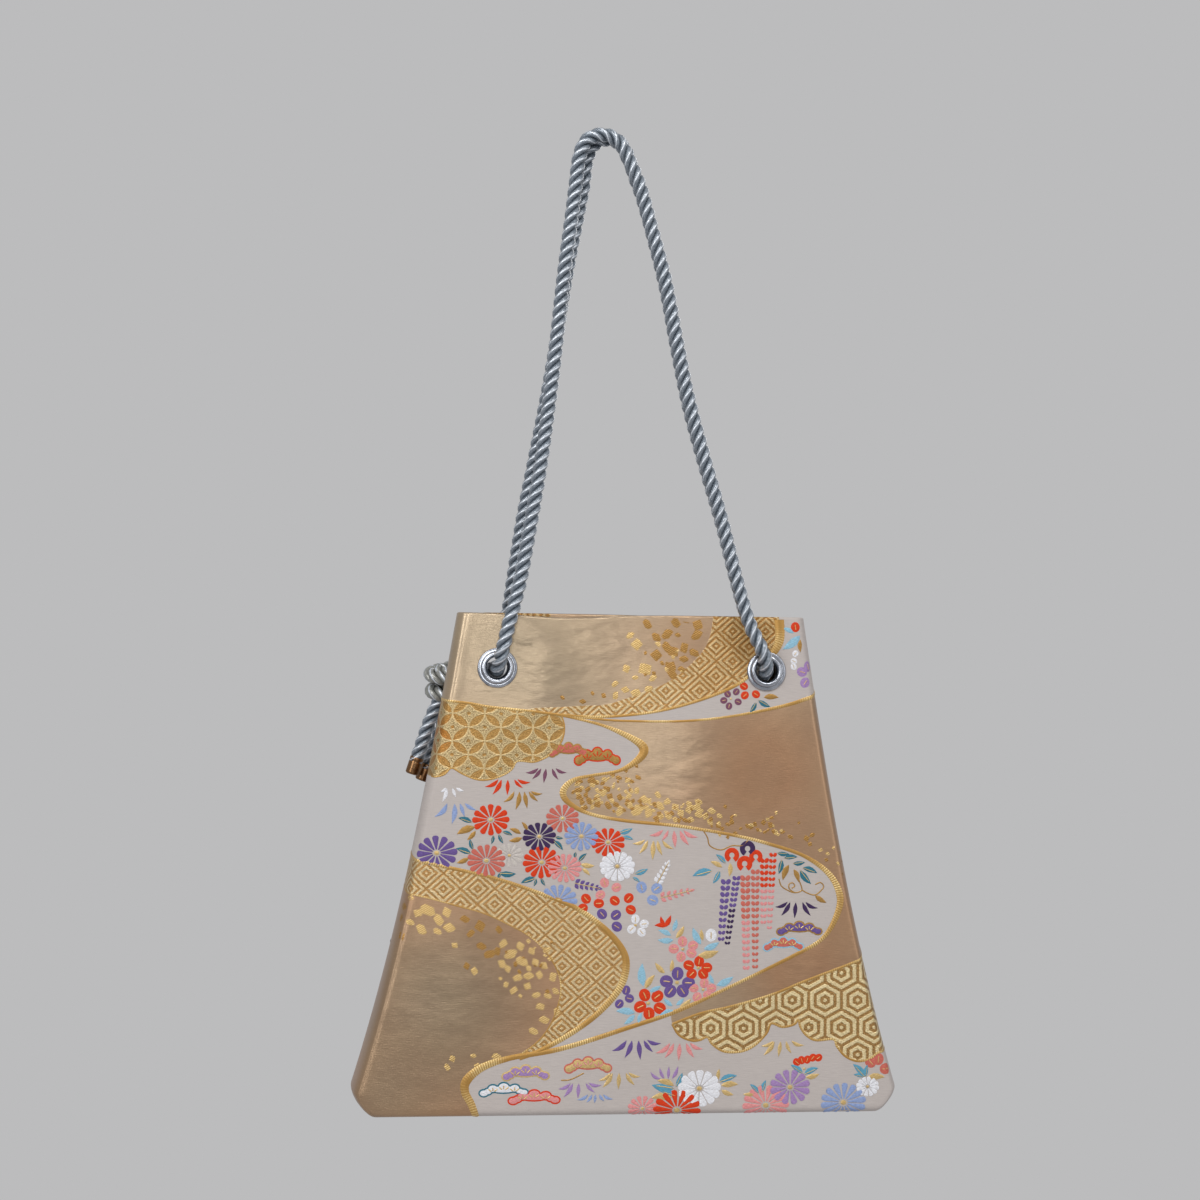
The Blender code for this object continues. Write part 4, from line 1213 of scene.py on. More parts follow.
def base_levels(low_drop):
    """Levels from the base edge up to just above the boxed corner."""
    angles = [math.pi / 2.0 * step / ROUND_ROWS for step in range(ROUND_ROWS)]
    levels = [BAG_HEIGHT - BASE_ROUND * (1.0 - math.cos(angle)) for angle in angles]
    return levels + list(np.linspace(BAG_HEIGHT - BASE_ROUND, low_drop, CORNER_ROWS, endpoint=False))


def brocade_rows(side):
    low_drop = BAG_HEIGHT - CORNER_RISE
    levels = base_levels(low_drop) + list(np.linspace(low_drop, HEM_FOLD_RADIUS, FACE_ROWS + 1))
    rows = [panel_row(drop, side, 0.0, 0.0, drop) for drop in levels]
    for angle in np.linspace(0.0, math.pi, HEM_FOLD_STEPS + 1)[1:-1]:
        inset, lift = HEM_FOLD_RADIUS * (1.0 - math.cos(angle)), HEM_FOLD_RADIUS * math.sin(angle)
        rows.append(panel_row(HEM_FOLD_RADIUS, side, inset, lift, HEM_FOLD_RADIUS * (1.0 - angle)))
    for drop in np.linspace(HEM_FOLD_RADIUS, HEM_DEPTH, HEM_ROWS + 1):
        rows.append(panel_row(drop, side, 2.0 * HEM_FOLD_RADIUS, 0.0, -drop))
    return rows


def lining_rows(side):
    low_drop = BAG_HEIGHT - CORNER_RISE
    rows = []
    for drop in base_levels(low_drop) + list(np.linspace(low_drop, HEM_DEPTH + CLEARANCE, LINING_ROWS + 1)):
        lift = LINING_INSET * max(0.0, drop - low_drop) / CORNER_RISE
        rows.append(panel_row(drop, side, LINING_INSET, lift, drop))
    return rows


def without_eyelet_holes(points, faces):
    """Leaves out the faces that an eyelet's barrel passes through."""
    keep = np.ones(len(points), bool)
    for hand in (-1.0, 1.0):
        middle = np.array([BAG_AXIS_X + hand * EYELET_SPREAD, MOUTH_Z - EYELET_DROP])
        keep &= np.hypot(points[:, 0] - middle[0], points[:, 2] - middle[1]) > HOLE_RADIUS
    return [face for face in faces if all(keep[list(face)])]


def at_corners(mesh, values):
    """The value of each face corner's point."""
    corners = np.empty(len(mesh.loops), np.int32)
    mesh.loops.foreach_get("vertex_index", corners)
    return values[corners]


def add_coordinates(mesh, name, places):
    mesh.uv_layers.new(name=name).data.foreach_set("uv", places.astype(np.float32).ravel())


def add_number(mesh, name, values):
    mesh.attributes.new(name, "FLOAT", "POINT").data.foreach_set("value", values.astype(np.float32))


def add_sheet(name, side, rows, thickness, material, fields=None):
    points, faces, flat = panel_sheet(rows, side)
    if fields:
        faces = without_eyelet_holes(points, faces)
    used = sorted({corner for face in faces for corner in face})
    renumber = {old: new for new, old in enumerate(used)}
    faces = [tuple(renumber[corner] for corner in face) for face in faces]
    flat = flat[used]
    thing = new_piece(name, points[used], faces, material, [name.replace("cloth", "panel")])
    add_coordinates(thing.data, "cloth", at_corners(thing.data, flat))
    if fields:
        layout = flat * np.array([1.0 if side < 0 else -1.0, 1.0])
        for field, outlines in fields.items():
            distances = [outline_distance(layout, outline) for outline in outlines]
            add_number(thing.data, field, np.max(distances, axis=0))
        for layer, spots, plain in SPREADS:
            add_number(thing.data, layer, spread_over(layout, spots, plain))
        face = half_width(np.clip(flat[:, 1], 0.0, BAG_HEIGHT)) - SIDE_FOLD_REACH
        add_number(thing.data, "fold", np.clip(1.0 - (face - side * flat[:, 0]) / FOLD_EASE, 0.0, 1.0))
    shell = thing.modifiers.new("cloth", "SOLIDIFY")
    shell.thickness = thickness
    shell.offset = -1.0
    shell.use_even_offset = True
    return thing


def spread_over(flat, spots, plain):
    """A number over the flat cloth: its plain value, drawn towards each spot's value within its reach."""
    values = np.full(len(flat), plain)
    for (px, py), reach, value in spots:
        near = np.exp(-np.sum((flat - np.array(cloth(px, py))) ** 2, axis=1) / reach**2)
        values += (value - values) * near
    return values


# Stitched motifs and borders
def fold_angle(beyond, depth):
    """How far round the side fold points lie, from their distance past the flat face along the cloth."""
    angles = np.linspace(0.0, math.pi / 2.0, 33)
    middles = (angles[1:] + angles[:-1]) / 2.0
    found = np.zeros(len(beyond))
    for index in np.flatnonzero(beyond > 0.0):
        pieces = np.hypot(SIDE_FOLD_REACH * np.cos(middles), depth[index] * np.sin(middles))
        run = np.concatenate([[0.0], np.cumsum(pieces * (angles[1] - angles[0]))])
        found[index] = np.interp(beyond[index], run, angles)
    return found


def on_bag(flat, lift, side):
    """Points that stand off the outer cloth, from places on the flat cloth, and which of them lie on it."""
    across, down = -side * flat[:, 0], flat[:, 1]
    drop = np.clip(down, 0.0, BAG_HEIGHT)
    under = np.maximum(down - BAG_HEIGHT, 0.0)
    hand = np.where(across < 0.0, -1.0, 1.0)
    face = half_width(drop) - SIDE_FOLD_REACH
    depth = half_depth(drop)
    angle = fold_angle(np.maximum(np.abs(across) - face, 0.0), depth)
    x = hand * (np.minimum(np.abs(across), face) + SIDE_FOLD_REACH * np.sin(angle))
    y = HALF_SEAM_GAP + (depth - HALF_SEAM_GAP) * np.cos(angle) + ripple(x, drop, side) - under
    turn = np.clip((drop - (BAG_HEIGHT - BASE_ROUND)) / BASE_ROUND, 0.0, 1.0)
    level = np.sqrt(1.0 - turn**2)
    outward = np.hypot(np.sin(angle) * depth, np.cos(angle) * SIDE_FOLD_REACH)
    x_part = hand * np.sin(angle) * depth / outward * level
    y_part = np.cos(angle) * SIDE_FOLD_REACH / outward * level
    z = MOUTH_Z - drop - lip_sag(x, drop, side) - turn * lift
    from_eyelet = np.hypot(np.abs(x) - EYELET_SPREAD, drop - EYELET_DROP)
    there = (angle < math.pi / 2.0 - SEAM_MARGIN) & (down > HEM_FOLD_RADIUS) & (from_eyelet > EYELET_CLEAR)
    there &= under < BASE_HALF_DEPTH - BASE_ROUND - SEAM_MARGIN
    return np.column_stack([BAG_AXIS_X + x + x_part * lift, side * (y + y_part * lift), z]), there


def motif_place(where, x, y):
    left, top, scale = ENLARGEMENTS[where]
    return np.array(cloth(left + x / scale, top + y / scale))


def motif_size(where, length):
    return length / ENLARGEMENTS[where][2] * PIXEL


class Stitching:
    """Raised shapes on one side of the bag, gathered into one mesh."""

    def __init__(self, side):
        self.side = side
        self.count = 0
        self.flat, self.lift, self.faces, self.colours, self.gold, self.stitch = [], [], [], [], [], []

    def add(self, flat, lift, faces, colour, stitch):
        self.faces += [tuple(corner + self.count for corner in face) for face in faces]
        self.count += len(flat)
        self.flat.append(flat)
        self.lift.append(lift)
        self.stitch.append(stitch)
        self.colours.append(np.tile(srgb(*THREADS[colour]), (len(flat), 1)))
        self.gold.append(np.full(len(flat), 1.0 if "gold" in colour else 0.0))

    def band(self, spine, half_breadths, colour, lift, rises):
        """A band with a raised middle along a line on the flat cloth."""
        half_breadths, rises = [np.broadcast_to(values, len(spine)) for values in (half_breadths, rises)]
        ahead = np.gradient(spine, axis=0)
        ahead /= np.maximum(np.linalg.norm(ahead, axis=1), 1e-12)[:, None]
        beside = np.column_stack([-ahead[:, 1], ahead[:, 0]])
        places, shares = np.transpose(SECTION)
        reach = (half_breadths[:, None] * places)[:, :, None]
        flat = (spine[:, None] + beside[:, None] * reach).reshape(-1, 2)
        lifts = (lift + np.reshape(rises, (-1, 1)) * shares).ravel()
        columns = len(places)
        along = np.repeat(run_along(spine) * 1000.0, columns)
        stitch = np.column_stack([np.tile(places, len(spine)), along])
        faces = [
            (low, low + 1, low + columns + 1, low + columns)
            for row in range(len(spine) - 1) for low in range(row * columns, row * columns + columns - 1)
        ]
        self.add(flat, lifts, faces, colour, stitch)

    def petal(self, start, end, half_breadth, profile, colour, lift, bend=0.0):
        shares, breadths = np.transpose(profile)
        span = end - start
        beside = np.array([-span[1], span[0]])
        spine = start + shares[:, None] * span + np.sin(shares * math.pi)[:, None] * beside * bend
        self.band(spine, breadths * half_breadth, colour, lift, STITCH_RISE)

    def disc(self, middle, along, over, colour, lift, heading=0.0):
        """An oval with half lengths along and over its heading."""
        angles = 2.0 * math.pi * np.arange(DISC_SIDES) / DISC_SIDES
        ahead = np.array([math.cos(heading), math.sin(heading)])
        beside = np.array([-ahead[1], ahead[0]])
        ring = np.cos(angles)[:, None] * along * ahead + np.sin(angles)[:, None] * over * beside
        flat = np.concatenate([middle + ring, middle + ring * 0.62, [middle]])
        lifts = np.repeat([lift, lift + STITCH_RISE * 0.85, lift + STITCH_RISE], [DISC_SIDES, DISC_SIDES, 1])
        around = [(index, (index + 1) % DISC_SIDES) for index in range(DISC_SIDES)]
        faces = [(low, low + DISC_SIDES, high + DISC_SIDES, high) for low, high in around]
        faces += [(low + DISC_SIDES, 2 * DISC_SIDES, high + DISC_SIDES) for low, high in around]
        self.add(flat, lifts, faces, colour, (flat - middle) * 1000.0)

    def flake(self, middle, reach, turn, colour, lift):
        """A scrap of gold leaf with uneven corners."""
        order = np.arange(FLAKE_CORNERS)
        angles = turn + 2.0 * math.pi * order / FLAKE_CORNERS + 0.3 * np.sin(turn * 7.0 + order * 2.1)
        reaches = reach * (0.92 + 0.17 * np.sin(turn * 5.0 + order * 1.9))
        ring = np.column_stack([np.cos(angles) * reaches, np.sin(angles) * reaches])
        flat = np.concatenate([middle + ring, middle + ring * 0.72])
        lifts = np.repeat([lift, lift + STITCH_RISE * 0.5], FLAKE_CORNERS)
        around = [(index, (index + 1) % FLAKE_CORNERS) for index in range(FLAKE_CORNERS)]
        faces = [(low, low + FLAKE_CORNERS, high + FLAKE_CORNERS, high) for low, high in around]
        faces.append(tuple(range(2 * FLAKE_CORNERS - 1, FLAKE_CORNERS - 1, -1)))
        self.add(flat, lifts, faces, colour, (flat - middle) * 1000.0)

    def piece(self, name, material, within=None):
        flat, lift = np.concatenate(self.flat), np.concatenate(self.lift)
        points, there = on_bag(flat, lift, self.side)
        middles = np.array([flat[list(face)].mean(axis=0) for face in self.faces])
        inside = np.ones(len(middles), bool)
        if within:
            inside = np.max([outline_distance(middles, outline) for outline in within], axis=0) > 0.0
        faces = [face for face, kept in zip(self.faces, inside) if kept and there[list(face)].all()]
        used = np.unique(np.concatenate(faces))
        renumber = np.zeros(len(points), int)
        renumber[used] = np.arange(len(used))
        faces = [tuple(int(corner) for corner in renumber[list(face)]) for face in faces]
        thing = new_piece(name, points[used], faces, material)
        for layer, places in (("cloth", flat), ("stitch", np.concatenate(self.stitch))):
            add_coordinates(thing.data, layer, at_corners(thing.data, places[used]))
        add_number(thing.data, "gold", np.concatenate(self.gold)[used])
        thread = np.column_stack([np.concatenate(self.colours)[used], np.ones(len(used))])
        colours = thing.data.attributes.new("thread", "FLOAT_COLOR", "POINT")
        colours.data.foreach_set("color", thread.astype(np.float32).ravel())
        return thing


def stitch_flowers(work):
    for order, (where, x, y, reach, colour, petals) in enumerate(CHRYSANTHEMUMS):
        middle, radius = motif_place(where, x, y), motif_size(where, reach)
        lift = GROUND_LIFT + LAYER_LIFT * (order % 4)
        for number in range(petals):
            angle = 2.0 * math.pi * (number + 0.37 * order) / petals
            direction = np.array([math.cos(angle), math.sin(angle) * FLOWER_SQUASH])
            breadth = radius * math.pi / petals * (0.74 if colour == "white" else 0.60)
            inner, outer = middle + direction * radius * 0.2, middle + direction * radius
            work.petal(inner, outer, breadth, PETAL, colour, lift)
        work.disc(middle, radius * 0.12, radius * 0.10, "gold", lift + STITCH_RISE * 0.5)
    for where, x, y, petals, reach, colour in BLOSSOMS:
        middle, radius = motif_place(where, x, y), motif_size(where, reach)
        for px, py in petals:
            place = motif_place(where, px, py)
            away = place - middle
            work.disc(place, radius, radius * 0.9, colour, GROUND_LIFT, math.atan2(away[1], away[0]))
            apart = float(np.linalg.norm(away))
            inner = middle + away * (1.0 - 0.55 * radius / apart)
            outer = middle + away * (1.0 + 0.5 * radius / apart)
            work.petal(inner, outer, radius * 0.08, EVEN, "gold", GROUND_LIFT + STITCH_RISE)
        if len(petals) > 3:
            work.disc(middle, radius * 0.3, radius * 0.26, "gold", GROUND_LIFT + STITCH_RISE)


def stitch_leaves(work):
    for where, x, y, tips, colour in BAMBOO:
        root = motif_place(where, x, y)
        for number, tip in enumerate(tips):
            end = motif_place(where, *tip)
            start = root + (end - root) * np.array([0.43, 0.05])
            length = float(np.linalg.norm(end - start))
            breadth = max(length * 0.14, 1.5 * PIXEL)
            work.petal(start, end, breadth, BLADE, colour, GROUND_LIFT, 0.07 * (number - 2))
    for colour, where, leaves in LEAVES:
        for number, (x, y, tip_x, tip_y) in enumerate(leaves):
            start, end = motif_place(where, x, y), motif_place(where, tip_x, tip_y)
            length = float(np.linalg.norm(end - start))
            breadth = max(length * 0.19, 1.6 * PIXEL)
            work.petal(start, end, breadth, LEAF, colour, GROUND_LIFT, 0.06 * (-1) ** number)
            if colour in ("teal", "sea"):
                tip = start + (end - start) * 0.8
                work.petal(start, tip, breadth * 0.12, EVEN, "gold", GROUND_LIFT + STITCH_RISE)
    for where, x, y, tip_x, tip_y, pairs, reach, colour in SPRIGS:
        start, end = motif_place(where, x, y), motif_place(where, tip_x, tip_y)
        length = motif_size(where, reach)
        ahead = (end - start) / np.linalg.norm(end - start)
        beside = np.array([-ahead[1], ahead[0]])
        for pair in range(pairs):
            root = start + (end - start) * pair / pairs
            shorter = length * (1.0 - 0.45 * pair / pairs)
            for hand in (-1.0, 1.0):
                tip = root + (ahead * 0.75 + beside * hand * 0.75) * shorter
                work.petal(root + (tip - root) * 0.15, tip, shorter * 0.30, LEAF, colour, GROUND_LIFT)
        inner, outer = end - ahead * length * 0.5, end + ahead * length * 0.4
        work.petal(inner, outer, length * 0.22, LEAF, colour, GROUND_LIFT)
        work.petal(start, end, 0.35 * PIXEL, EVEN, "gold", GROUND_LIFT + STITCH_RISE)
    for where, route in TENDRILS:
        spine = flat_line([motif_place(where, x, y) for x, y in route])
        work.band(spine, 0.6 * PIXEL, "dark gold", GROUND_LIFT, STITCH_RISE)


def stitch_wisteria(work):
    for where, x, y, tip_x, tip_y, florets, reach, top, bottom in WISTERIA:
        start, end = motif_place(where, x, y), motif_place(where, tip_x, tip_y)
        for number in range(florets):
            share = number / (florets - 1)
            size = motif_size(where, reach) * (1.25 - 0.4 * share)
            colour = top if share < 0.45 else bottom
            middle = start + (end - start) * share
            for hand in (-1.0, 1.0):
                place = middle + np.array([hand * 0.46, 0.0]) * size
                work.disc(place, size * 0.54, size * 0.42, colour, GROUND_LIFT, -hand * 0.9)
    angles = np.linspace(-0.35 * math.pi, 1.35 * math.pi, 17)
    for where, x, y, reach, colour in WISTERIA_BUDS:
        middle, radius = motif_place(where, x, y), motif_size(where, reach)
        ring = middle + np.column_stack([np.cos(angles), -np.sin(angles)]) * radius * 0.7
        work.band(ring, radius * 0.34, colour, GROUND_LIFT, STITCH_RISE)


def stitch_pines(work):
    trim = 1.5 * PIXEL
    for where, left, right, top, bottom, rim, fill, marks in PINES:
        middle = motif_place(where, (left + right) / 2.0, (top + bottom) / 2.0)
        half = motif_size(where, right - left) / 2.0
        tall = 2.0 * (bottom - top) / (right - left) / PINE_TALL
        for colour, inset, lift in ((rim, 0.0, GROUND_LIFT), (fill, trim, GROUND_LIFT + STITCH_RISE)):
            for x, up, along, over in PINE_LOBES + PINE_BODIES:
                place = middle + np.array([x, -up * tall]) * half
                work.disc(place, along * half - inset, over * half * tall - inset, colour, lift)
        for x, up, radius, _ in PINE_LOBES[1:-1]:
            foot = middle + np.array([x, -(up - 0.8 * radius) * tall]) * half
            for turn in (-0.8, 0.0, 0.8):
                away = np.array([math.sin(turn), -math.cos(turn) * tall]) * radius * half
                start, end, lift = foot + away * 0.35, foot + away * 1.05, GROUND_LIFT + 2.0 * STITCH_RISE
                work.petal(start, end, 0.6 * PIXEL, EVEN, marks, lift)


def scatter_flakes(work):
    turns = np.random.default_rng(FLAKE_SEED)
    for where, colour, scraps in FLAKES:
        for x, y, size in scraps:
            reach = motif_size(where, size) * 0.55
            work.flake(motif_place(where, x, y), reach, turns.uniform(0.0, math.pi), colour, GROUND_LIFT)
    for (left, right, top, bottom), count in SMALL_FLAKES:
        for _ in range(count):
            place = np.array(cloth(turns.uniform(left, right), turns.uniform(top, bottom)))
            reach = turns.uniform(1.6, 3.4) * PIXEL
            colour = "gold" if turns.uniform() < 0.45 else "dark gold"
            work.flake(place, reach, turns.uniform(0.0, math.pi), colour, GROUND_LIFT)


def lay_borders(work):
    for line, widths in BORDERS:
        spine = cloth_line(line)
        run = run_along(spine)
        at = np.arange(0.0, run[-1], BORDER_STEP)
        spine = np.column_stack([np.interp(at, run, spine[:, axis]) for axis in range(2)])
        gaps = [np.linalg.norm(spine - np.array(cloth(px, py)), axis=1) for px, py, _ in widths]
        nearest = np.argmin(gaps, axis=1)
        breadth = np.interp(np.arange(len(spine)), nearest, [width for _, _, width in widths]) * PIXEL / 2.0
        work.band(spine, breadth, "gold", BORDER_LIFT, np.minimum(breadth * CORD_RISE, BORDER_RISE))


def stitched_pieces(side, where, silk, cord, leaf, fields):
    motifs, flakes, borders = Stitching(side), Stitching(side), Stitching(side)
    stitch_pines(motifs)
    stitch_leaves(motifs)
    stitch_wisteria(motifs)
    stitch_flowers(motifs)
    scatter_flakes(flakes)
    lay_borders(borders)
    return [
        motifs.piece(f"brocade_{where}_motifs", silk, fields["cream"]),
        flakes.piece(f"brocade_{where}_gold_flakes", leaf),
        borders.piece(f"brocade_{where}_gold_borders", cord),
    ]


# Turned metal parts
def turned(name, profile, matrix, material, slot, replaced):
    """A closed profile, in radius and height, turned about Z. Points on the axis are shared."""
    points, faces = [], []
    for turn in range(TURN_STEPS):
        angle = 2.0 * math.pi * turn / TURN_STEPS
        for radius, height in profile:
            points.append(matrix @ Vector((radius * math.cos(angle), radius * math.sin(angle), height)))
    count = len(profile)
    for turn in range(TURN_STEPS):
        after = (turn + 1) % TURN_STEPS
        for index in range(count):
            ahead = (index + 1) % count
            low, high = turn * count, after * count
            faces.append((low + index, high + index, high + ahead, low + ahead))
    thing = new_piece(name, points, faces, material, replaced)
    weld = thing.modifiers.new("weld", "WELD")
    weld.merge_threshold = MERGE_REACH
    return thing


def rounded(profile, radius, steps=4):
    """The profile with each corner turned into a small arc."""
    result = []
    count = len(profile)
    for index, corner in enumerate(profile):
        corner = Vector(corner)
        before = Vector(profile[index - 1]) - corner
        after = Vector(profile[(index + 1) % count]) - corner
        reach = min(radius, before.length * 0.45, after.length * 0.45)
        start, end = corner + before.normalized() * reach, corner + after.normalized() * reach
        for step in range(steps + 1):
            share = step / steps
            left = 1.0 - share
            result.append(tuple(start * left**2 + corner * 2.0 * share * left + end * share**2))
    return result


def depth_slope():
    return (BASE_HALF_DEPTH - MOUTH_HALF_DEPTH) / BAG_HEIGHT


def eyelet_frame(side, hand):
    """Local +Z points out of the cloth at the eyelet's centre, and the cloth's outer face is at zero."""
    outward = Vector((0.0, side, depth_slope())).normalized()
    across = Vector((1.0, 0.0, 0.0))
    upward = outward.cross(across)
    matrix = Matrix((across, upward, outward)).transposed().to_4x4()
    depth = side * half_depth(EYELET_DROP)
    matrix.translation = (BAG_AXIS_X + hand * EYELET_SPREAD, depth, MOUTH_Z - EYELET_DROP)
    return matrix


def eyelet_profile():
    barrel = BORE_RADIUS + BARREL_WALL
    rim = BORE_RADIUS + RIM_WIDTH
    flange = rim + FLANGE_WIDTH
    crest = CLEARANCE + RIM_HEIGHT
    foot = CLEARANCE + FLANGE_THICKNESS
    curl_top = -(2.0 * HEM_FOLD_RADIUS + WASHER_THICKNESS + 2.0 * CLEARANCE)
    curl_low = curl_top - CURL_HEIGHT
    curl = barrel + CURL_WIDTH
    roll = [
        (BORE_RADIUS + RIM_WIDTH * (0.5 - 0.5 * math.cos(angle)), foot + (crest - foot) * math.sin(angle))
        for angle in np.linspace(0.0, math.pi, 15)
    ]
    rim_foot = (rim, foot + FLANGE_THICKNESS * 0.1)
    return [
        *rounded([(BORE_RADIUS, curl_top), *roll[1:-1], rim_foot], 0.0002, 2)[3:-3],
        *rounded([
            rim_foot,
            (flange - FLANGE_WIDTH * 0.25, foot - FLANGE_THICKNESS * 0.1),
            (flange, CLEARANCE + FLANGE_THICKNESS * 0.2), (flange, CLEARANCE), (barrel, CLEARANCE),
            (barrel, curl_top), (curl, curl_top), (curl, curl_top - CURL_HEIGHT * 0.6),
            (curl - CURL_WIDTH * 0.5, curl_low), (barrel - BARREL_WALL * 0.2, curl_low),
            (BORE_RADIUS, curl_top),
        ], 0.0003, 3),
    ]


def washer_profile():
    inner = BORE_RADIUS + BARREL_WALL + CLEARANCE
    outer = inner + WASHER_WIDTH
    top = -(2.0 * HEM_FOLD_RADIUS + CLEARANCE)
    low = top - WASHER_THICKNESS
    return rounded([(outer, top), (outer, low), (inner, low), (inner, top)], 0.0003, 3)


def cap_profile():
    radius = CAP_DIAMETER / 2.0
    outline = [(radius, -CAP_ROUND * 0.2)]
    for share in np.linspace(0.0, 1.0, 17):
        ring = CAP_WAIST * max(0.0, math.cos((share - 0.2) * 18.0)) ** 4 * (1.0 if share < 0.45 else 0.0)
        outline.append((radius - ring, -CAP_ROUND - share * (CAP_LENGTH - 2.0 * CAP_ROUND)))
    outline.append((radius - CAP_ROUND, -CAP_LENGTH))
    return [(0.0, 0.0), (radius - CAP_ROUND, 0.0), *outline, (0.0, -CAP_LENGTH)]


# Rope
def even_route(points, spacing):
    """The same route with its points at even spacing."""
    points = np.array([tuple(point) for point in points])
    run = run_along(points)
    count = max(4, int(round(run[-1] / spacing)))
    at = np.linspace(0.0, run[-1], count + 1)
    return np.column_stack([np.interp(at, run, points[:, axis]) for axis in range(3)]), at


def rope_frames(route):
    """Two directions across the rope at each point, carried along without twisting."""
    ahead = np.gradient(route, axis=0)
    ahead /= np.linalg.norm(ahead, axis=1)[:, None]
    first = np.cross(ahead[0], (0.0, 1.0, 0.0))
    first /= np.linalg.norm(first)
    sides = []
    for direction in ahead:
        first = first - direction * (first @ direction)
        first /= np.linalg.norm(first)
        sides.append(first)
    sides = np.array(sides)
    return sides, np.cross(ahead, sides)


def twisted_rope(points, phase):
    """Points, faces and strand coordinates of a rope of three strands laid round each other."""
    route, run = even_route(points, RING_STEP)
    side, other = rope_frames(route)
    vertices, faces, strand = [], [], []
    for number in range(STRANDS):
        turn = phase + 2.0 * math.pi * (number / STRANDS + run / LAY)
        outward = side * np.cos(turn)[:, None] + other * np.sin(turn)[:, None]
        sideways = other * np.cos(turn)[:, None] - side * np.sin(turn)[:, None]
        middle = route + outward * STRAND_OFFSET
        start = len(vertices)
        for step in range(STRAND_SIDES):
            angle = 2.0 * math.pi * step / STRAND_SIDES
            across = outward * STRAND_DEPTH * math.cos(angle) + sideways * STRAND_BREADTH * math.sin(angle)
            vertices.extend(middle + across)
            strand.extend((step / STRAND_SIDES, distance * 1000.0) for distance in run)
        count = len(run)
        for step in range(STRAND_SIDES):
            after = (step + 1) % STRAND_SIDES
            for index in range(count - 1):
                low, high = start + step * count + index, start + after * count + index
                faces.append((low, high, high + 1, low + 1))
        faces.append(tuple(start + step * count for step in reversed(range(STRAND_SIDES))))
        faces.append(tuple(start + step * count + count - 1 for step in range(STRAND_SIDES)))
    return vertices, faces, strand, route


def add_rope(name, points, material, replaced, phase=0.0):
    vertices, faces, strand, route = twisted_rope(points, phase)
    thing = new_piece(name, vertices, faces, material, replaced)
    add_strand_coordinates(thing.data, np.array(strand))
    return thing, route


def add_strand_coordinates(mesh, strand):
    """Round and along each strand. A face that closes a strand's ring runs on past 1, not back to 0."""
    places = at_corners(mesh, strand)
    starts = np.empty(len(mesh.polygons), np.int32)
    sizes = np.empty(len(mesh.polygons), np.int32)
    mesh.polygons.foreach_get("loop_start", starts)
    mesh.polygons.foreach_get("loop_total", sizes)
    for start, size in zip(starts, sizes):
        part = places[start : start + size, 0]
        if size == 4 and part.max() - part.min() > 0.5:
            part[part < 0.5] += 1.0
    add_coordinates(mesh, "strand", places)


def on_knot(towards, distance):
    """The point outside the knot's surface, this far off, on the way to a given point."""
    ray = (Vector(towards) - KNOT_CENTRE).normalized()
    scaled = Vector(ray[axis] / KNOT_HALF[axis] for axis in range(3))
    return KNOT_CENTRE + ray * (1.0 / scaled.length + distance)


def add_ropes(material, knot_material, cap_metal):
    grip = KNOT_GROOVE * max(KNOT_HALF) + CLEARANCE
    start, end = on_knot(CORD_ROUTE[0], grip), on_knot(CORD_ROUTE[-1], grip)
    first, last = [KNOT_CENTRE + (point - KNOT_CENTRE) * 0.55 for point in (start, end)]
    path = smooth_route([first, start, *CORD_ROUTE, end, last], CORD_STEPS)
    drawstring, route = add_rope("drawstring_rope", path, material, ["drawstring"])
    pieces = []
    for name, points in TAIL_ROUTES.items():
        start = on_knot(points[0], grip)
        inside = KNOT_CENTRE + (start - KNOT_CENTRE) * 0.5
        end, before = Vector(points[-1]), Vector(points[-2])
        downward = (end - before).normalized()
        ending = end + downward * CAP_LENGTH * 0.3
        path = smooth_route([inside, start, *points, ending], SPLINE_STEPS)
        tail, _ = add_rope(f"{name}_rope", path, material, [name], TAIL_PHASE)
        matrix = (-downward).to_track_quat("Z", "Y").to_matrix().to_4x4()
        matrix.translation = end + downward * CLEARANCE
        cap = turned(f"{name}_end_cap", cap_profile(), matrix, cap_metal, "cap_metal", [f"{name}_cap"])
        pieces += [tail, cap]
    pieces.append(add_knot(knot_material))


def knot_turns(start_angle, hand):
    """One rope's way through the knot: round the other rope and down."""
    points = []
    for step in range(KNOT_POINTS + 1):
        share = step / KNOT_POINTS
        angle = start_angle + 2.0 * math.pi * KNOT_TURNS * share
        swell = KNOT_WAIST + (1.0 - KNOT_WAIST) * math.sin(math.pi * share)
        points.append(KNOT_CENTRE + Vector((
            KNOT_RING[0] * math.cos(angle) * swell,
            KNOT_RING[1] * math.sin(angle) * swell,
            KNOT_RING[2] * (1.0 - 2.0 * share) + KNOT_SHIFT * hand,
        )))
    return points


def add_knot(material):
    vertices, faces, strand = [], [], []
    for start_angle, hand in ((KNOT_START, 1.0), (KNOT_START + math.pi, -1.0)):
        path = smooth_route(knot_turns(start_angle, hand), KNOT_STEPS)
        more, more_faces, more_strand, _ = twisted_rope(path, hand)
        faces += [tuple(corner + len(vertices) for corner in face) for face in more_faces]
        vertices += more
        strand += more_strand
    knot = new_piece("tied_knot", vertices, faces, material, ["stopper_knot"])
    add_strand_coordinates(knot.data, np.array(strand))
    return knot


# Lights and surroundings
def add_area_light(name, place, target, size, power, colour):
    data = bpy.data.lights.new(name, "AREA")
    data.shape = "RECTANGLE"
    data.size, data.size_y = size
    data.energy = power
    data.color = colour
    thing = bpy.data.objects.new(name, data)
    thing.matrix_world = (Vector(place) - Vector(target)).to_track_quat("Z", "Y").to_matrix().to_4x4()
    thing.matrix_world.translation = Vector(place)
    bpy.context.scene.collection.objects.link(thing)


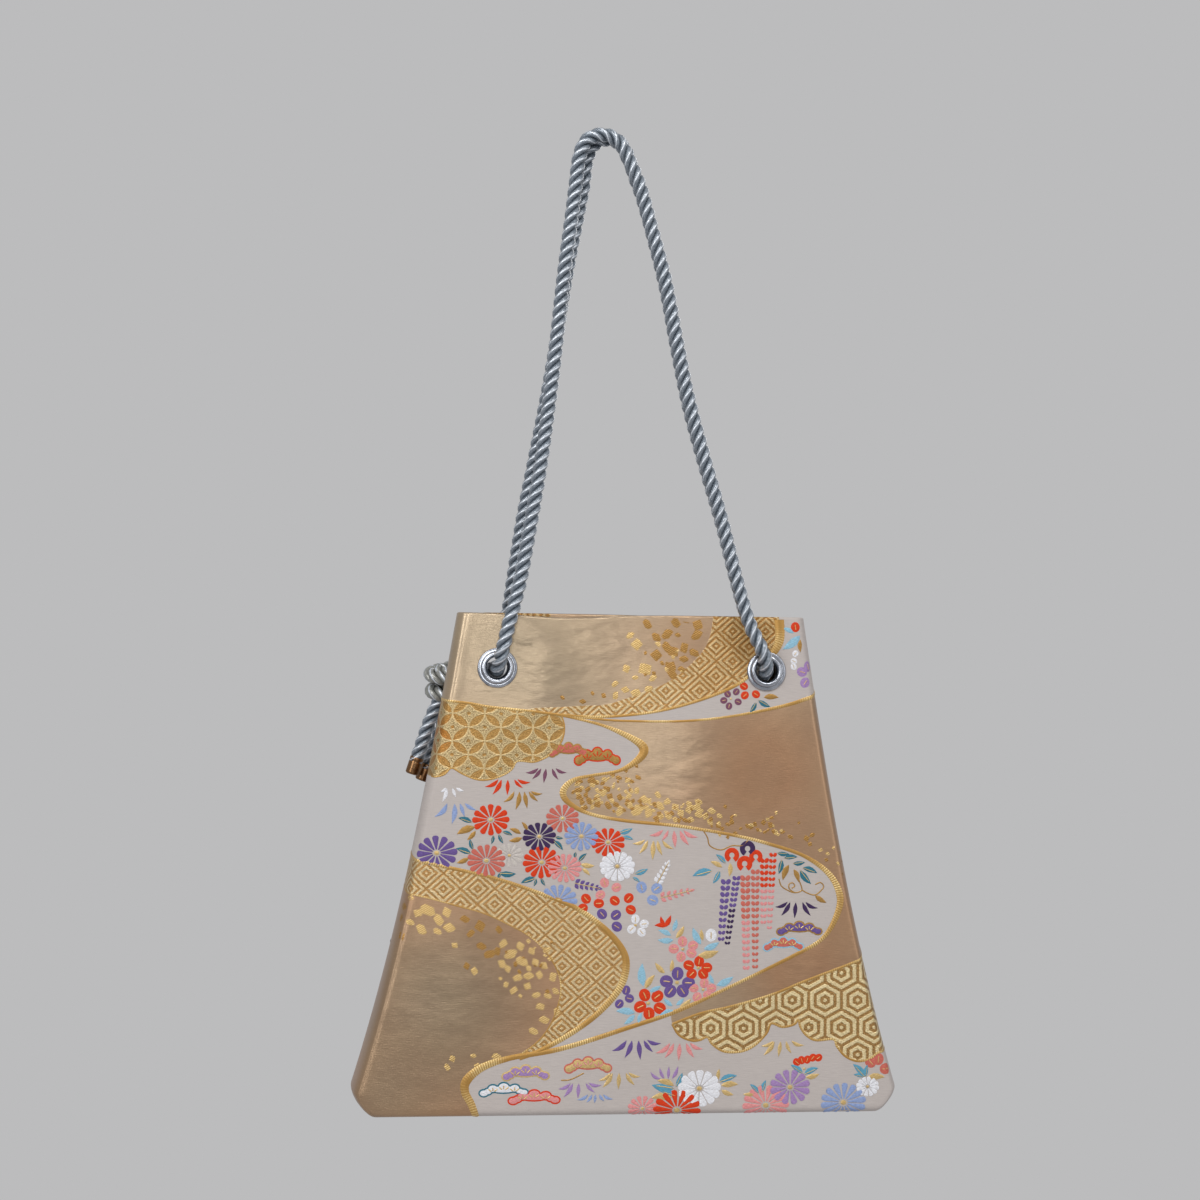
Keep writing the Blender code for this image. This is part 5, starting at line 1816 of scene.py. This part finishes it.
def add_surroundings():
    for name, light in LIGHTS.items():
        add_area_light(name, *light)
    world = bpy.data.worlds.new("studio")
    bpy.context.scene.world = world
    world.use_nodes = True
    nodes, links = world.node_tree.nodes, world.node_tree.links
    background = nodes["Background"]
    background.inputs["Strength"].default_value = 1.0
    sight = nodes.new("ShaderNodeLightPath")
    choice = nodes.new("ShaderNodeMix")
    choice.data_type = "RGBA"
    sockets = [socket for socket in choice.inputs if socket.enabled]
    links.new(sight.outputs["Is Camera Ray"], sockets[0])
    sockets[1].default_value = (*srgb(*SKY), 1.0)
    sockets[2].default_value = (*srgb(*SEEN_SKY), 1.0)
    links.new(next(socket for socket in choice.outputs if socket.enabled), background.inputs["Color"])
    bpy.context.scene.view_settings.view_transform = "Standard"
    floor_mesh = bpy.data.meshes.new("floor")
    angles = [2.0 * math.pi * step / FLOOR_SIDES for step in range(FLOOR_SIDES)]
    rim = [(FLOOR_REACH * math.cos(angle), FLOOR_REACH * math.sin(angle), FLOOR_Z) for angle in angles]
    floor_mesh.from_pydata(rim, [], [tuple(range(FLOOR_SIDES))])
    floor = bpy.data.objects.new("floor", floor_mesh)
    bpy.context.scene.collection.objects.link(floor)
    shader = Shader("floor", Roughness=0.8)
    floor_mesh.materials.append(shader.finish(Base_Color=srgb(*FLOOR_COLOUR)))


def build():
    add_camera()
    add_surroundings()
    rope = rope_material("rayon_rope", srgb(82, 94, 106), srgb(160, 168, 178))
    knot = rope_material("rayon_knot", srgb(112, 112, 106), srgb(172, 172, 166))
    bronze = metal_material("bronze_plate", srgb(138, 104, 72), srgb(88, 62, 42), 0.26, 900.0)
    silver = metal_material("nickel_silver", srgb(184, 188, 196), srgb(146, 150, 158), 0.19, 1200.0)
    add_ropes(rope, knot, bronze)
    brocade, lining = brocade_material(), lining_material()
    silk, cord, leaf = silk_material(), gold_cord_material(), gold_leaf_material()
    fields = brocade_fields()
    for where, side in (("front", -1.0), ("back", 1.0)):
        stitched = stitched_pieces(side, where, silk, cord, leaf, fields)
        add_sheet(
            f"brocade_{where}_cloth", side, brocade_rows(side), BROCADE_THICKNESS, brocade,
            fields,
        )
        add_sheet(
            f"lining_{where}_cloth", side, lining_rows(side), LINING_THICKNESS, lining,
        )
        for hand_name, hand in (("left", -1.0), ("right", 1.0)):
            corner = f"{where}_{hand_name}"
            metal = (eyelet_frame(side, hand), silver, "eyelet_metal")
            turned(f"eyelet_ring_{corner}", eyelet_profile(), *metal, [f"eyelet_{corner}"])
            turned(f"washer_ring_{corner}", washer_profile(), *metal, [f"washer_{corner}"])


build()
